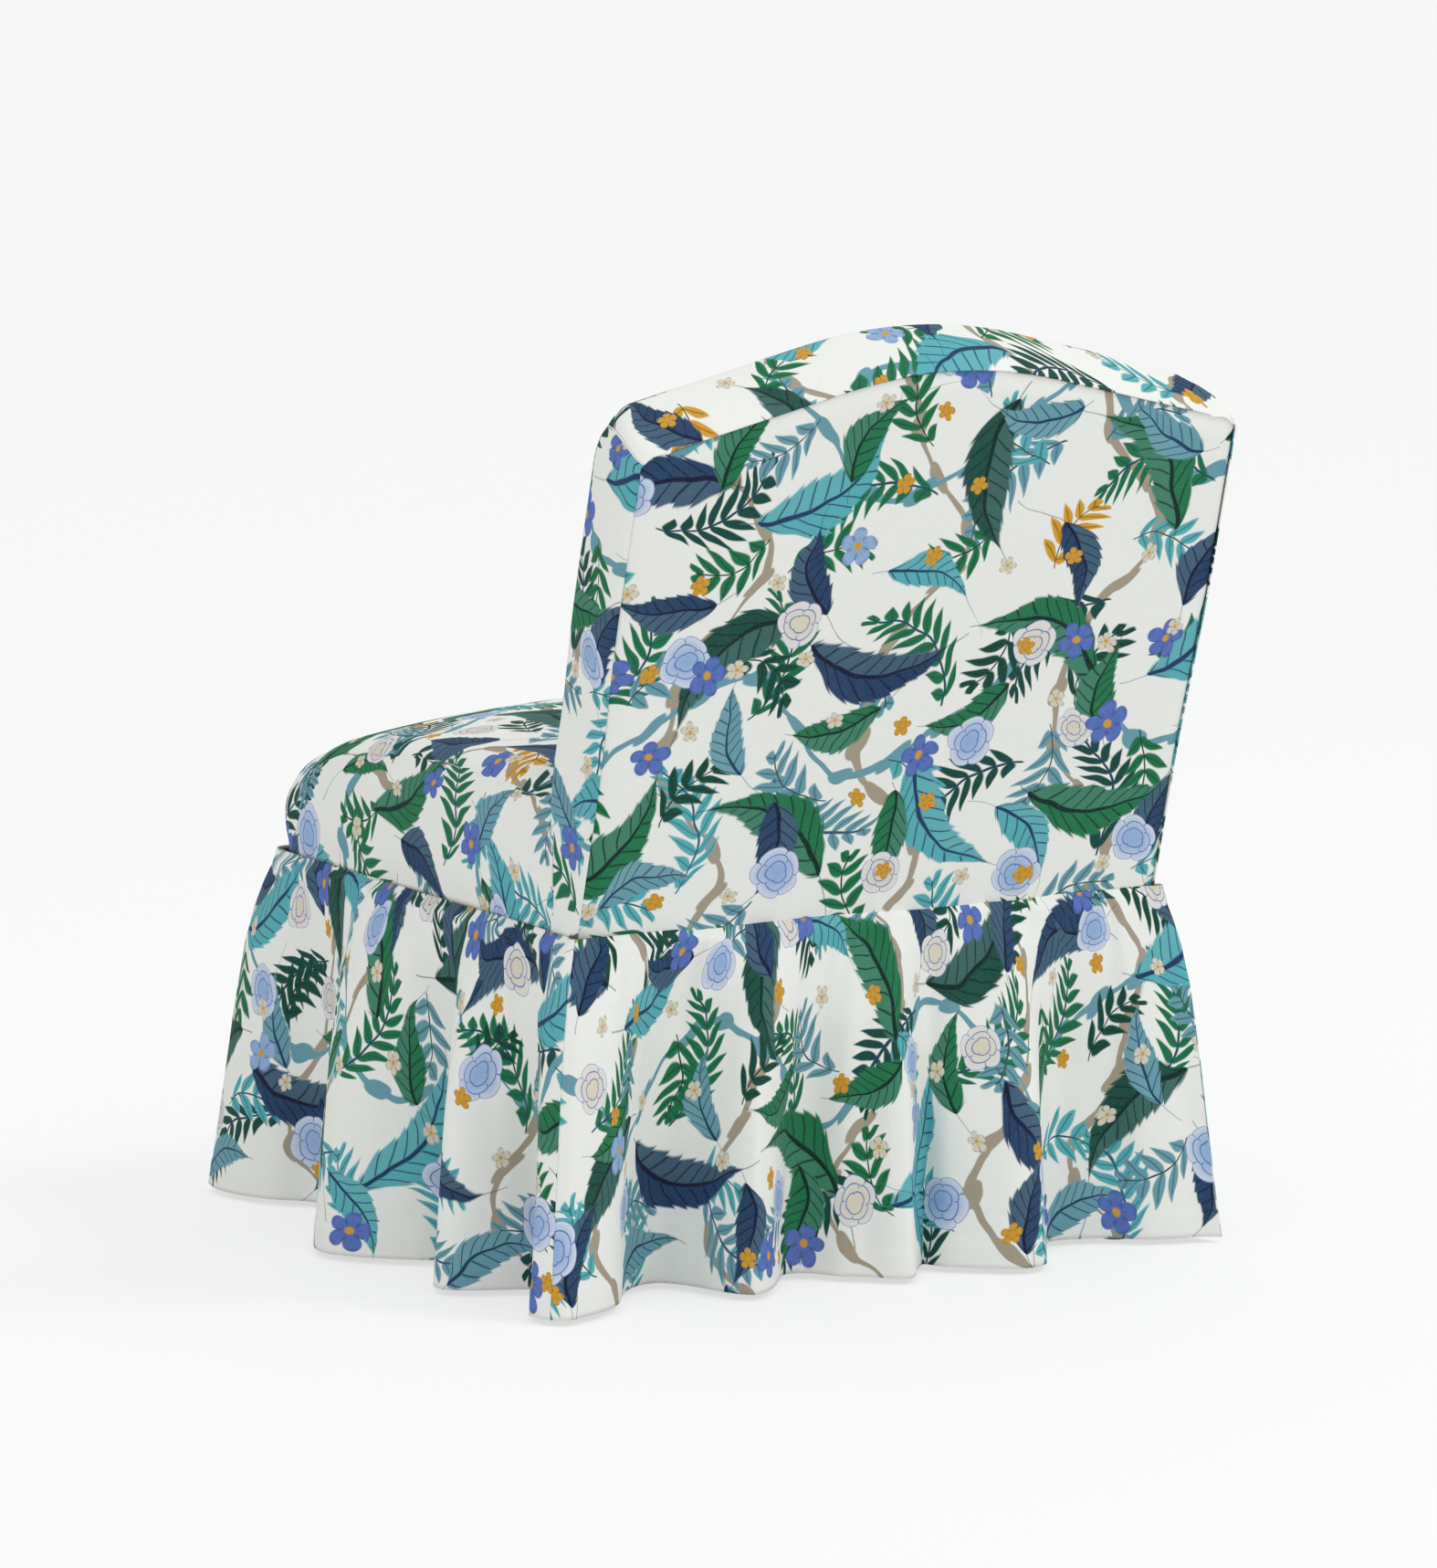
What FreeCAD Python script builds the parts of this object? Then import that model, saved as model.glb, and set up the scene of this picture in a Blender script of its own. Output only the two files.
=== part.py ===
# Slipper chair, tight upholstered, with a gathered skirt to the floor.
# Millimetres, +Z up, the front faces -Y, +X is the sitter's left. The origin lies on the floor
# under the middle of the chair's outer box.
import FreeCAD, Part
import math
import os
import Sketcher
from types import SimpleNamespace
from FreeCAD import Placement, Rotation, Vector

# Driving dimensions: name, value, what it is.
DIMENSIONS = [
    ("body_width", 610, "side to side at the waist seam"),
    ("body_depth", 602, "front to outside back at the waist seam"),
    ("waist_height", 335, "floor to waist seam"),
    ("rake", 16.25, "lean of the back, in degrees"),
    ("crest_corner", 468, "up the back, waist seam to the ends of the crest seam"),
    ("crest_apex", 534, "up the back, waist seam to the middle of the crest seam"),
    ("crest_radius", 430, "arc of the camelback"),
    ("crest_crown", 8, "rise of the stuffing above the crest seam, along the rake"),
    ("brow_drop", 22, "front edge of the crown, below the crest seam"),
    ("back_thickness", 107, "outside back to inside back, square to the rake"),
    ("back_crown", 16, "swell of the inside back"),
    ("back_edge", 25, "rounding of the back's front and top edges"),
    ("back_foot", 55, "crease between seat and back, in from the outside back at the waist"),
    ("seat_rise", 162, "waist seam to the top of the crown"),
    ("seat_fall", 46, "drop of the crown from its top to the front"),
    ("seat_roll", 65, "drop of the rolled front edge"),
    ("seat_side_drop", 27, "drop of the crown from the middle to the shoulders"),
    ("shoulder_radius", 42, "rounding along the seat's sides"),
    ("corner_radius", 28, "rounding of the seat's front corners in plan"),
    ("side_swell", 4, "lean of the seat's sides out over the waist seam"),
    ("cover_thickness", 2, "printed cover"),
    ("wadding_thickness", 6, "wadding between cover and frame"),
    ("ease", 0.3, "clearance between soft layers"),
    ("cover_tuck", 35, "cover below the waist seam, under the skirt"),
    ("rail_height", 110, "seat rails"),
    ("rail_thickness", 28, "seat rails"),
    ("rail_chamfer", 8, "outer front corners of the side rails"),
    ("rail_rise", 25, "top of the rails above the waist seam"),
    ("post_width", 32, "back posts, across the chair"),
    ("post_depth", 45, "back posts at the seat rails"),
    ("post_foot", 32, "back posts at the floor"),
    ("frame_depth", 38, "raked posts and crest rail, square to the rake"),
    ("crest_rail_height", 64, "crest rail at its ends"),
    ("crest_padding", 24, "stuffing over the crest rail"),
    ("lower_rail_height", 45, "lower back rail"),
    ("lower_rail_level", 92, "lower back rail, up the back from the waist seam"),
    ("leg_top", 45, "front legs at the rails"),
    ("leg_foot", 32, "front legs at the floor"),
    ("leg_inset", 20, "front legs, in from the outside of the rails"),
    ("glide_height", 8, "floor glides"),
    ("glide_radius", 14, "floor glides"),
    ("block_leg", 90, "corner blocks along each rail"),
    ("block_height", 45, "corner blocks"),
    ("bolt_radius", 4, "hanger bolts"),
    ("bolt_bite", 45, "hanger bolts, in the leg"),
    ("nut_radius", 8, "hanger bolt nuts, across the corners"),
    ("nut_height", 7, "hanger bolt nuts"),
    ("hole_ease", 0.3, "holes wider than what they hold, on the radius"),
    ("spring_count", 5, "sinuous springs"),
    ("spring_margin", 60, "outer springs, in from the side rails"),
    ("spring_wire", 3.8, "thickness of the spring wire"),
    ("spring_width", 48, "width of the sinuous bends"),
    ("spring_pitch", 38, "bar to bar along a spring"),
    ("spring_arch", 26, "rise of the springs between the rails"),
    ("clip_length", 18, "spring clips along the wire"),
    ("clip_thickness", 1.5, "spring clips"),
    ("tie_radius", 1.5, "tie wires under the springs"),
    ("tie_spacing", 180, "from tie wire to tie wire"),
    ("burlap_thickness", 1.2, "burlap on springs and webbing"),
    ("webbing_width", 50, "back webbing"),
    ("webbing_thickness", 1.6, "back webbing"),
    ("webbing_spacing", 150, "upright straps"),
    ("cross_spacing", 95, "cross straps"),
    ("foam_level", 45, "bottom of the back foam above the waist seam"),
    ("dust_cover_thickness", 1, "cambric under the frame"),
    ("skirt_thickness", 5, "lined skirt cloth"),
    ("skirt_standoff", 12, "gathered heading, out from the body"),
    ("gather_depth", 4, "ripple at the heading"),
    ("heading_drop", 115, "waist seam to the skirt's fullest swell"),
    ("hem_clearance", 7, "floor to hem"),
    ("fold_reach", 0.161, "furthest fold, out from the body, as a share of that side"),
    ("rear_left_fold", 84, "reach of the corner fold at the hem, out from the body"),
    ("rear_right_fold", 55, "reach of the corner fold at the hem"),
    ("front_left_fold", 55, "reach of the corner fold at the hem"),
    ("front_right_fold", 70, "reach of the corner fold at the hem"),
    ("corner_flank", 5, "middle of the flank beside each corner fold, in from the body's corner"),
    ("flank_angle", 68, "steepness of the folds' flanks, in degrees"),
    ("strip_height", 12, "tack strips"),
    ("strip_thickness", 2, "tack strips"),
]

# Where each fold's flanks stand along a side, and how far out the cloth stands after each, as
# shares of the side and of fold_reach. They are uneven, as gathers are. Between these come the
# corner folds, named first and last.
FOLDS = {
    "skirt_left": ("rear_left_fold", 0.20, [
        (-0.385, 0.95), (-0.266, 0.14), (-0.116, 1.04), (0.176, 0.03)], "front_left_fold"),
    "skirt_rear": ("rear_right_fold", 0.0, [
        (-0.275, 0.86), (-0.118, 0.18), (-0.036, 0.74), (0.066, 0.03), (0.190, 0.73),
        (0.300, 0.02)], "rear_left_fold"),
    "skirt_right": ("front_right_fold", 0.06, [
        (-0.340, 0.92), (-0.203, 0.06), (-0.070, 0.84), (0.070, 0.04), (0.199, 1.04),
        (0.344, 0.06)], "rear_right_fold"),
    "skirt_front": ("front_left_fold", 0.06, [
        (-0.336, 0.84), (-0.197, 0.06), (-0.074, 1.0), (0.082, 0.06), (0.205, 0.88),
        (0.341, 0.06)], "front_right_fold"),
}

doc = FreeCAD.newDocument("SlipperChair")
sheet = doc.addObject("Spreadsheet::Sheet", "Sizes")
for row, (name, value, meaning) in enumerate(DIMENSIONS, start=1):
    sheet.set(f"A{row}", name)
    sheet.set(f"B{row}", str(value))
    sheet.set(f"C{row}", meaning)
    sheet.setAlias(f"B{row}", name)
doc.recompute()


class Size:
    """A length with the spreadsheet formula that gives it."""

    def __init__(self, value, formula=None):
        self.value = float(value)
        self.formula = formula or f"({self.value:.6f})"

    def joined(self, other, sign, value):
        return Size(value, f"({self.formula} {sign} {as_size(other).formula})")

    def __float__(self):
        return self.value

    def __add__(self, other):
        return self.joined(other, "+", self.value + float(other))

    def __sub__(self, other):
        return self.joined(other, "-", self.value - float(other))

    def __mul__(self, other):
        return self.joined(other, "*", self.value * float(other))

    def __truediv__(self, other):
        return self.joined(other, "/", self.value / float(other))

    def __neg__(self):
        return Size(0) - self


def as_size(value):
    return value if isinstance(value, Size) else Size(value)


s = SimpleNamespace(**{name: Size(value, f"Sizes.{name}") for name, value, meaning in DIMENSIONS})
mm = SimpleNamespace(**{name: value for name, value, meaning in DIMENSIONS})
lean = math.radians(mm.rake)
rake_sine = Size(math.sin(lean), "sin(Sizes.rake)")
rake_cosine = Size(math.cos(lean), "cos(Sizes.rake)")

# Levels and faces that many pieces share, measured from the middle of the waist seam.
half_width = s.body_width / 2
half_depth = s.body_depth / 2
rail_top = s.waist_height + s.rail_rise
rail_bottom = rail_top - s.rail_height
frame_inset = s.cover_thickness + s.wadding_thickness + s.ease * 2
frame_side = half_width - frame_inset
frame_front = -half_depth + frame_inset
frame_rear = half_depth - frame_inset
post_front = frame_rear - s.post_depth
post_inside = frame_side - s.post_width
crease = half_depth - s.back_foot
frame_face = frame_inset + s.frame_depth

# The chair is moved along Y so that the origin is under the middle of its outer box.
crest_top_y = float(half_depth) + mm.crest_apex * math.sin(lean)
hem_front_y = float(half_depth) + mm.fold_reach * mm.body_width
centring = (hem_front_y - crest_top_y) / 2
upright = Placement(Vector(0, centring, 0), Rotation())
leaning = Placement(
    Vector(0, float(half_depth) + centring, mm.waist_height),
    Rotation(Vector(1, 0, 0), 90 - mm.rake),
)
parts = []


# Helpers for bodies made from sketches on their own origin planes.
def new_body(label, place=upright):
    body = doc.addObject("PartDesign::Body", label)
    body.Label = label
    body.Placement = place
    parts.append(body)
    return body


def sketch_on(body, role, level):
    """A sketch square to one axis of the body, at a level along that plane's normal."""
    sketch = body.newObject("Sketcher::SketchObject", f"{body.Label}_sketch")
    plane = [item for item in body.Origin.OriginFeatures if item.Role == role][0]
    sketch.AttachmentSupport = [(plane, "")]
    sketch.MapMode = "FlatFace"
    sketch.AttachmentOffset = Placement(Vector(0, 0, float(level)), Rotation())
    sketch.setExpression("AttachmentOffset.Base.z", as_size(level).formula)
    return sketch


def hold(sketch, edge, end, x, y):
    """Tie one end of an edge to the sheet."""
    for kind, value in (("DistanceX", as_size(x)), ("DistanceY", as_size(y))):
        row = sketch.addConstraint(Sketcher.Constraint(kind, -1, 1, edge, end, value.value))
        sketch.setExpression(f"Constraints[{row}]", value.formula)


def draw_outline(sketch, corners):
    """A closed outline with straight sides."""
    points = [Vector(float(x), float(y), 0) for x, y in corners]
    count = len(points)
    for k in range(count):
        sketch.addGeometry(Part.LineSegment(points[k], points[(k + 1) % count]), False)
    for k in range(count):
        sketch.addConstraint(Sketcher.Constraint("Coincident", k, 2, (k + 1) % count, 1))
    for k, (x, y) in enumerate(corners):
        hold(sketch, k, 1, x, y)


def box_corners(x0, x1, y0, y1):
    return [(x0, y0), (x1, y0), (x1, y1), (x0, y1)]


def draw_circle(sketch, x, y, radius):
    circle = Part.Circle(Vector(float(x), float(y), 0), Vector(0, 0, 1), float(radius))
    edge = sketch.addGeometry(circle, False)
    hold(sketch, edge, 3, x, y)
    row = sketch.addConstraint(Sketcher.Constraint("Radius", edge, float(radius)))
    sketch.setExpression(f"Constraints[{row}]", as_size(radius).formula)


def extrude(body, kind, sketch, length):
    """Pad or pocket, as much to each side of the sketch."""
    feature = body.newObject(f"PartDesign::{kind}", f"{body.Label}_{kind}")
    feature.Profile = sketch
    feature.SideType = "Symmetric"
    feature.Length = float(length)
    feature.setExpression("Length", as_size(length).formula)
    sketch.Visibility = False
    return feature


def padded(label, role, corners, low, high, place=upright):
    """A board or sheet: an outline given thickness from one level to another."""
    body = new_body(label, place)
    sketch = sketch_on(body, role, (low + high) / 2)
    draw_outline(sketch, corners)
    extrude(body, "Pad", sketch, high - low)
    return body


def bore(body, role, x, y, radius, low, high):
    sketch = sketch_on(body, role, (low + high) / 2)
    draw_circle(sketch, x, y, radius)
    extrude(body, "Pocket", sketch, high - low)


def back_point(up, inward):
    """Y and Z of a point given along the rake and square to it, from the waist seam."""
    return (
        half_depth + up * rake_sine - inward * rake_cosine,
        s.waist_height + up * rake_cosine + inward * rake_sine,
    )


# Seat frame.
front_inside = frame_front + s.rail_thickness
rear_inside = frame_rear - s.rail_thickness
side_inside = frame_side - s.rail_thickness

padded(
    "front_rail", "XZ_Plane", box_corners(-side_inside, side_inside, rail_bottom, rail_top),
    -front_inside, -frame_front)
padded(
    "rear_rail", "XZ_Plane", box_corners(-post_inside, post_inside, rail_bottom, rail_top),
    -frame_rear, -rear_inside)
for side, sign in (("left", 1), ("right", -1)):
    padded(f"{side}_side_rail", "XY_Plane", [
        (side_inside * sign, frame_front),
        ((frame_side - s.rail_chamfer) * sign, frame_front),
        (frame_side * sign, frame_front + s.rail_chamfer),
        (frame_side * sign, post_front),
        (side_inside * sign, post_front),
    ], rail_bottom, rail_top)

# Back posts: each board is the rear leg below and the raked upright above.
post_up = s.crest_corner - s.crest_rail_height
rear_bend = s.waist_height + frame_inset * (Size(1) / rake_cosine - 1) * rake_cosine / rake_sine
for side, sign in (("left", 1), ("right", -1)):
    low, high = sorted((post_inside * sign, frame_side * sign), key=float)
    post_outline = [
        (frame_rear - s.post_foot, s.glide_height),
        (frame_rear, s.glide_height),
        (frame_rear, rear_bend),
        back_point(post_up, frame_inset),
        back_point(post_up, frame_face),
        back_point(s.lower_rail_level - s.lower_rail_height / 2, frame_face),
        (post_front, rail_top),
        (post_front, rail_bottom),
    ]
    padded(f"{side}_back_post", "YZ_Plane", post_outline, low, high)

# Corner blocks, glued into the corners; the front two carry the legs' bolts.
leg_centre_x = frame_side - s.leg_inset - s.leg_top / 2
leg_centre_y = frame_front + s.leg_inset + s.leg_top / 2
bolt_hole = s.bolt_radius + s.hole_ease
for side, sign in (("left", 1), ("right", -1)):
    for end, toward, corner_x, corner_y in (
        ("front", 1, side_inside, front_inside),
        ("rear", -1, post_inside, rear_inside),
    ):
        block_outline = [
            (corner_x * sign, corner_y),
            ((corner_x - s.block_leg) * sign, corner_y),
            (corner_x * sign, corner_y + s.block_leg * toward),
        ]
        block = padded(
            f"{end}_{side}_corner_block", "XY_Plane", block_outline,
            rail_bottom, rail_bottom + s.block_height)
        if end == "front":
            bore(block, "XY_Plane", leg_centre_x * sign, leg_centre_y, bolt_hole,
                 rail_bottom, rail_bottom + s.block_height)


def grouped(label, solids, place=upright):
    """Loose copies of one small piece, kept together as a group."""
    group = doc.addObject("Part::Feature", label)
    group.Label = label
    group.Shape = Part.makeCompound(solids)
    group.Placement = place
    parts.append(group)
    return group


# Front legs, tapered on all sides, each hung on a bolt through its corner block.
def bind(item, **formulas):
    """Set properties of a Part primitive and tie them to the sheet."""
    for name, value in formulas.items():
        setattr(item, name, float(value))
        item.setExpression(name, as_size(value).formula)


for side, sign in (("left", 1), ("right", -1)):
    taper = doc.addObject("Part::Wedge", f"front_{side}_leg_taper")
    bind(taper, Ymin=s.glide_height, Ymax=rail_bottom,
         Xmin=-s.leg_foot / 2, Xmax=s.leg_foot / 2, Zmin=-s.leg_foot / 2, Zmax=s.leg_foot / 2,
         X2min=-s.leg_top / 2, X2max=s.leg_top / 2, Z2min=-s.leg_top / 2, Z2max=s.leg_top / 2)
    taper.Placement = Placement(
        Vector(float(leg_centre_x) * sign, float(leg_centre_y), 0), Rotation(Vector(1, 0, 0), 90))
    hole = doc.addObject("Part::Cylinder", f"front_{side}_leg_hole")
    bind(hole, Radius=bolt_hole, Height=s.bolt_bite + s.hole_ease)
    hole_bottom = rail_bottom - s.bolt_bite - s.hole_ease
    hole.Placement = Placement(
        Vector(float(leg_centre_x) * sign, float(leg_centre_y), float(hole_bottom)), Rotation())
    leg = doc.addObject("Part::Cut", f"front_{side}_leg")
    leg.Base = taper
    leg.Tool = hole
    leg.Placement = upright
    leg.Label = leg.Name
    parts.append(leg)


def leg_bolt(sign):
    """A hanger bolt with its nut on top of the corner block."""
    x, y = float(leg_centre_x) * sign, float(leg_centre_y)
    low = float(rail_bottom) - mm.bolt_bite
    block_top = float(rail_bottom) + mm.block_height
    rod = Part.makeCylinder(
        mm.bolt_radius, block_top + mm.nut_height * 1.6 - low, Vector(x, y, low))
    corners = [
        Vector(x + mm.nut_radius * math.cos(k * math.pi / 3),
               y + mm.nut_radius * math.sin(k * math.pi / 3), block_top)
        for k in range(7)
    ]
    nut = Part.Face(Part.makePolygon(corners)).extrude(Vector(0, 0, mm.nut_height))
    return rod.fuse(nut)


grouped("leg_bolts", [leg_bolt(1), leg_bolt(-1)])


def floor_glide(x, y):
    """A turned nylon glide: a flat foot with an eased edge, nailed under a leg."""
    low = mm.glide_height / 3
    foot = Part.makeCone(
        mm.glide_radius * 0.85, mm.glide_radius, low, Vector(float(x), float(y), 0))
    pad = Part.makeCylinder(
        mm.glide_radius, mm.glide_height - low, Vector(float(x), float(y), low))
    return foot.fuse(pad)


post_centre_x = frame_side - s.post_width / 2
post_centre_y = frame_rear - s.post_foot / 2
grouped("floor_glides", [
    floor_glide(x * sign, y)
    for x, y in ((leg_centre_x, leg_centre_y), (post_centre_x, post_centre_y))
    for sign in (1, -1)
])


# Pieces of the raked back: outlines lie along the rake, thickness is square to it.
def crest_tangent(half, corner, apex, radius):
    """Where a straight shoulder from the crest's end meets the camelback arc."""
    centre = apex - radius
    reach = math.hypot(half, corner - centre)
    angle = math.atan2(half, corner - centre) - math.acos(radius / reach)
    return angle, radius * math.sin(angle), centre + radius * math.cos(angle)


def draw_crest(sketch, half, bottom, inset):
    """Outline with straight sides and a camelback top that is inset from the crest seam."""
    corner, apex, radius = s.crest_corner - inset, s.crest_apex - inset, s.crest_radius - inset
    angle, x, y = crest_tangent(float(half), float(corner), float(apex), float(radius))
    right_low = Vector(-float(half), float(bottom), 0)
    left_low = Vector(float(half), float(bottom), 0)
    left_high = Vector(float(half), float(corner), 0)
    right_high = Vector(-float(half), float(corner), 0)
    circle = Part.Circle(Vector(0, float(apex - radius), 0), Vector(0, 0, 1), float(radius))
    arc = Part.ArcOfCircle(circle, math.pi / 2 - angle, math.pi / 2 + angle)
    for edge in (
        Part.LineSegment(right_low, left_low),
        Part.LineSegment(left_low, left_high),
        Part.LineSegment(left_high, Vector(x, y, 0)),
        arc,
        Part.LineSegment(Vector(-x, y, 0), right_high),
        Part.LineSegment(right_high, right_low),
    ):
        sketch.addGeometry(edge, False)
    for first, second in ((0, 1), (1, 2), (4, 5), (5, 0)):
        sketch.addConstraint(Sketcher.Constraint("Coincident", first, 2, second, 1))
    sketch.addConstraint(Sketcher.Constraint("Tangent", 2, 2, 3, 1))
    sketch.addConstraint(Sketcher.Constraint("Tangent", 3, 2, 4, 1))
    hold(sketch, 0, 1, -half, bottom)
    hold(sketch, 1, 1, half, bottom)
    hold(sketch, 2, 1, half, corner)
    hold(sketch, 5, 1, -half, corner)
    hold(sketch, 3, 3, Size(0), apex - radius)
    row = sketch.addConstraint(Sketcher.Constraint("Radius", 3, float(radius)))
    sketch.setExpression(f"Constraints[{row}]", radius.formula)


def crest_piece(label, half, bottom, inset, low, high):
    body = new_body(label, leaning)
    sketch = sketch_on(body, "XY_Plane", (low + high) / 2)
    draw_crest(sketch, half, bottom, inset)
    extrude(body, "Pad", sketch, high - low)
    return body


panel_half = half_width - s.cover_thickness - s.ease
panel_inset = s.cover_thickness + s.ease
crest_piece("outside_back_panel", panel_half, Size(-18), panel_inset, Size(0), s.cover_thickness)
wadding_low = s.cover_thickness + s.ease
crest_piece("outside_back_wadding", frame_side, s.rail_rise, s.crest_padding,
            wadding_low, wadding_low + s.wadding_thickness)
crest_piece("crest_rail", frame_side, post_up, s.crest_padding, frame_inset, frame_face)
lower_rail_low = s.lower_rail_level - s.lower_rail_height / 2
lower_rail_high = s.lower_rail_level + s.lower_rail_height / 2
padded("lower_back_rail", "XY_Plane",
       box_corners(-post_inside, post_inside, lower_rail_low, lower_rail_high),
       frame_inset, frame_face, leaning)

# Webbing on the front of the back frame, cross straps first, then upright straps over them.
cross_top = frame_face + s.webbing_thickness
upright_top = cross_top + s.webbing_thickness
middle_up = (lower_rail_high + post_up) / 2
for number, step in ((1, -1), (2, 0), (3, 1)):
    low = middle_up + s.cross_spacing * step - s.webbing_width / 2
    padded(f"cross_webbing_{number}", "XY_Plane",
           box_corners(-frame_side, frame_side, low, low + s.webbing_width),
           frame_face, cross_top, leaning)
    left = s.webbing_spacing * step - s.webbing_width / 2
    padded(f"upright_webbing_{number}", "XY_Plane",
           box_corners(left, left + s.webbing_width, lower_rail_low,
                       s.crest_corner - s.crest_padding),
           cross_top, upright_top, leaning)
burlap_top = upright_top + s.burlap_thickness
crest_piece("back_burlap", frame_side, lower_rail_low, s.crest_padding, upright_top, burlap_top)

# Springs: each is one square-cut wire bent to and fro along an arch from rail to rail.
spring_seat = float(rail_top) + mm.clip_thickness + mm.spring_wire / 2
spring_start = float(front_inside) - mm.rail_thickness / 2
spring_end = float(rear_inside) + mm.rail_thickness / 2
spring_middle = (spring_start + spring_end) / 2
half_chord = (spring_end - spring_start) / 2
arch_radius = (half_chord**2 + mm.spring_arch**2) / (2 * mm.spring_arch)
arch_centre = spring_seat + mm.spring_arch - arch_radius


def arch_height(y, rise=0):
    return arch_centre + math.sqrt((arch_radius + rise) ** 2 - (y - spring_middle) ** 2)


def spring_path(x):
    """Corners of the wire: straight bars across, joined by cut-off half circles."""
    bars = round((spring_end - spring_start) / mm.spring_pitch)
    pitch = (spring_end - spring_start) / bars
    path = []
    for bar in range(bars + 1):
        y = spring_start + bar * pitch
        side = 1 if bar % 2 == 0 else -1
        bend = mm.spring_width / 2
        steps = [(-side * (bend - pitch * 0.45), 0), (side * (bend - pitch * 0.45), 0)]
        if bar < bars:
            steps += [(side * bend, 0.28), (side * bend, 0.72)]
        for offset, share in steps:
            place = y + share * pitch
            path.append(Vector(x + offset, place, arch_height(place)))
    return path


def square_wire(path, size):
    """A bent wire with a square section, mitred at each corner of its path."""
    sections = []
    for k, point in enumerate(path):
        before = (point - path[k - 1]).normalize() if k else (path[1] - point).normalize()
        after = (path[k + 1] - point).normalize() if k < len(path) - 1 else before
        along = (before + after).normalize()
        across = along.cross(Vector(0, 0, 1)).normalize() * (size / 2 / before.dot(along))
        rise = across.cross(along).normalize() * (size / 2)
        corners = [across + rise, across - rise, -across - rise, -across + rise]
        sections.append(Part.makePolygon([point + c for c in corners + corners[:1]]))
    return Part.makeLoft(sections, True, True)


def add_part(label, shape, place=upright):
    part = doc.addObject("Part::Feature", label)
    part.Label = label
    part.Shape = shape
    part.Placement = place
    parts.append(part)
    return part


outer_row = float(side_inside) - mm.spring_margin
spring_rows = [
    outer_row * (2 * k / (mm.spring_count - 1) - 1) for k in range(int(mm.spring_count))
]
for number, x in enumerate(spring_rows, start=1):
    add_part(f"seat_spring_{number}", square_wire(spring_path(x), mm.spring_wire))


def spring_clip(x, y):
    """A folded steel clip nailed on the rail, round the spring's end bar."""
    wall = mm.clip_thickness
    inside = mm.spring_wire + 2 * mm.ease
    low = float(rail_top)
    outer = Part.makeBox(
        mm.clip_length, inside + 2 * wall, inside + 2 * wall - mm.ease,
        Vector(x - mm.clip_length / 2, y - inside / 2 - wall, low))
    channel = Part.makeBox(
        mm.clip_length + 2, inside, inside,
        Vector(x - mm.clip_length / 2 - 1, y - inside / 2, low + wall - mm.ease))
    return outer.cut(channel)


clip_places = [(x, y) for x in spring_rows for y in (spring_start, spring_end)]
grouped("spring_clips", [spring_clip(x, y) for x, y in clip_places])

tie_reach = outer_row + mm.spring_width / 2
tie_rise = mm.spring_wire / 2 + mm.tie_radius + mm.ease
tie_wires = []
for y in (spring_middle - mm.tie_spacing / 2, spring_middle + mm.tie_spacing / 2):
    start = Vector(-tie_reach, y, arch_height(y) - tie_rise)
    tie_wires.append(Part.makeCylinder(mm.tie_radius, 2 * tie_reach, start, Vector(1, 0, 0)))
grouped("spring_tie_wires", tie_wires)


# Burlap stretched over the springs, on the same arch.
def arch_edge(rise, start, end):
    points = [Vector(0, y, arch_height(y, rise)) for y in (start, (start + end) / 2, end)]
    return Part.Arc(*points).toShape()


def arch_prism(half, low_rise, high_rise, start, end):
    """The space between two concentric arches, from one side of the seat to the other."""
    low = arch_edge(low_rise, start, end)
    high = arch_edge(high_rise, start, end)
    ends = [
        Part.makeLine(low.Vertexes[k].Point, high.Vertexes[k].Point) for k in (0, 1)
    ]
    face = Part.Face(Part.Wire(Part.__sortEdges__([low, high] + ends)))
    face.translate(Vector(-half, 0, 0))
    return face.extrude(Vector(2 * half, 0, 0))


deck_low = mm.spring_wire / 2 + 2 * mm.clip_thickness
deck_high = deck_low + mm.burlap_thickness
deck_start = float(frame_front) + mm.ease
deck_end = float(post_front) - mm.ease
deck_half = float(side_inside)
add_part("seat_burlap", arch_prism(deck_half, deck_low, deck_high, deck_start, deck_end))


# Soft seat: cross sections from the front edge to the crease behind.
def arc_through(start, middle, end):
    return Part.Arc(start, middle, end).toShape()


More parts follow.
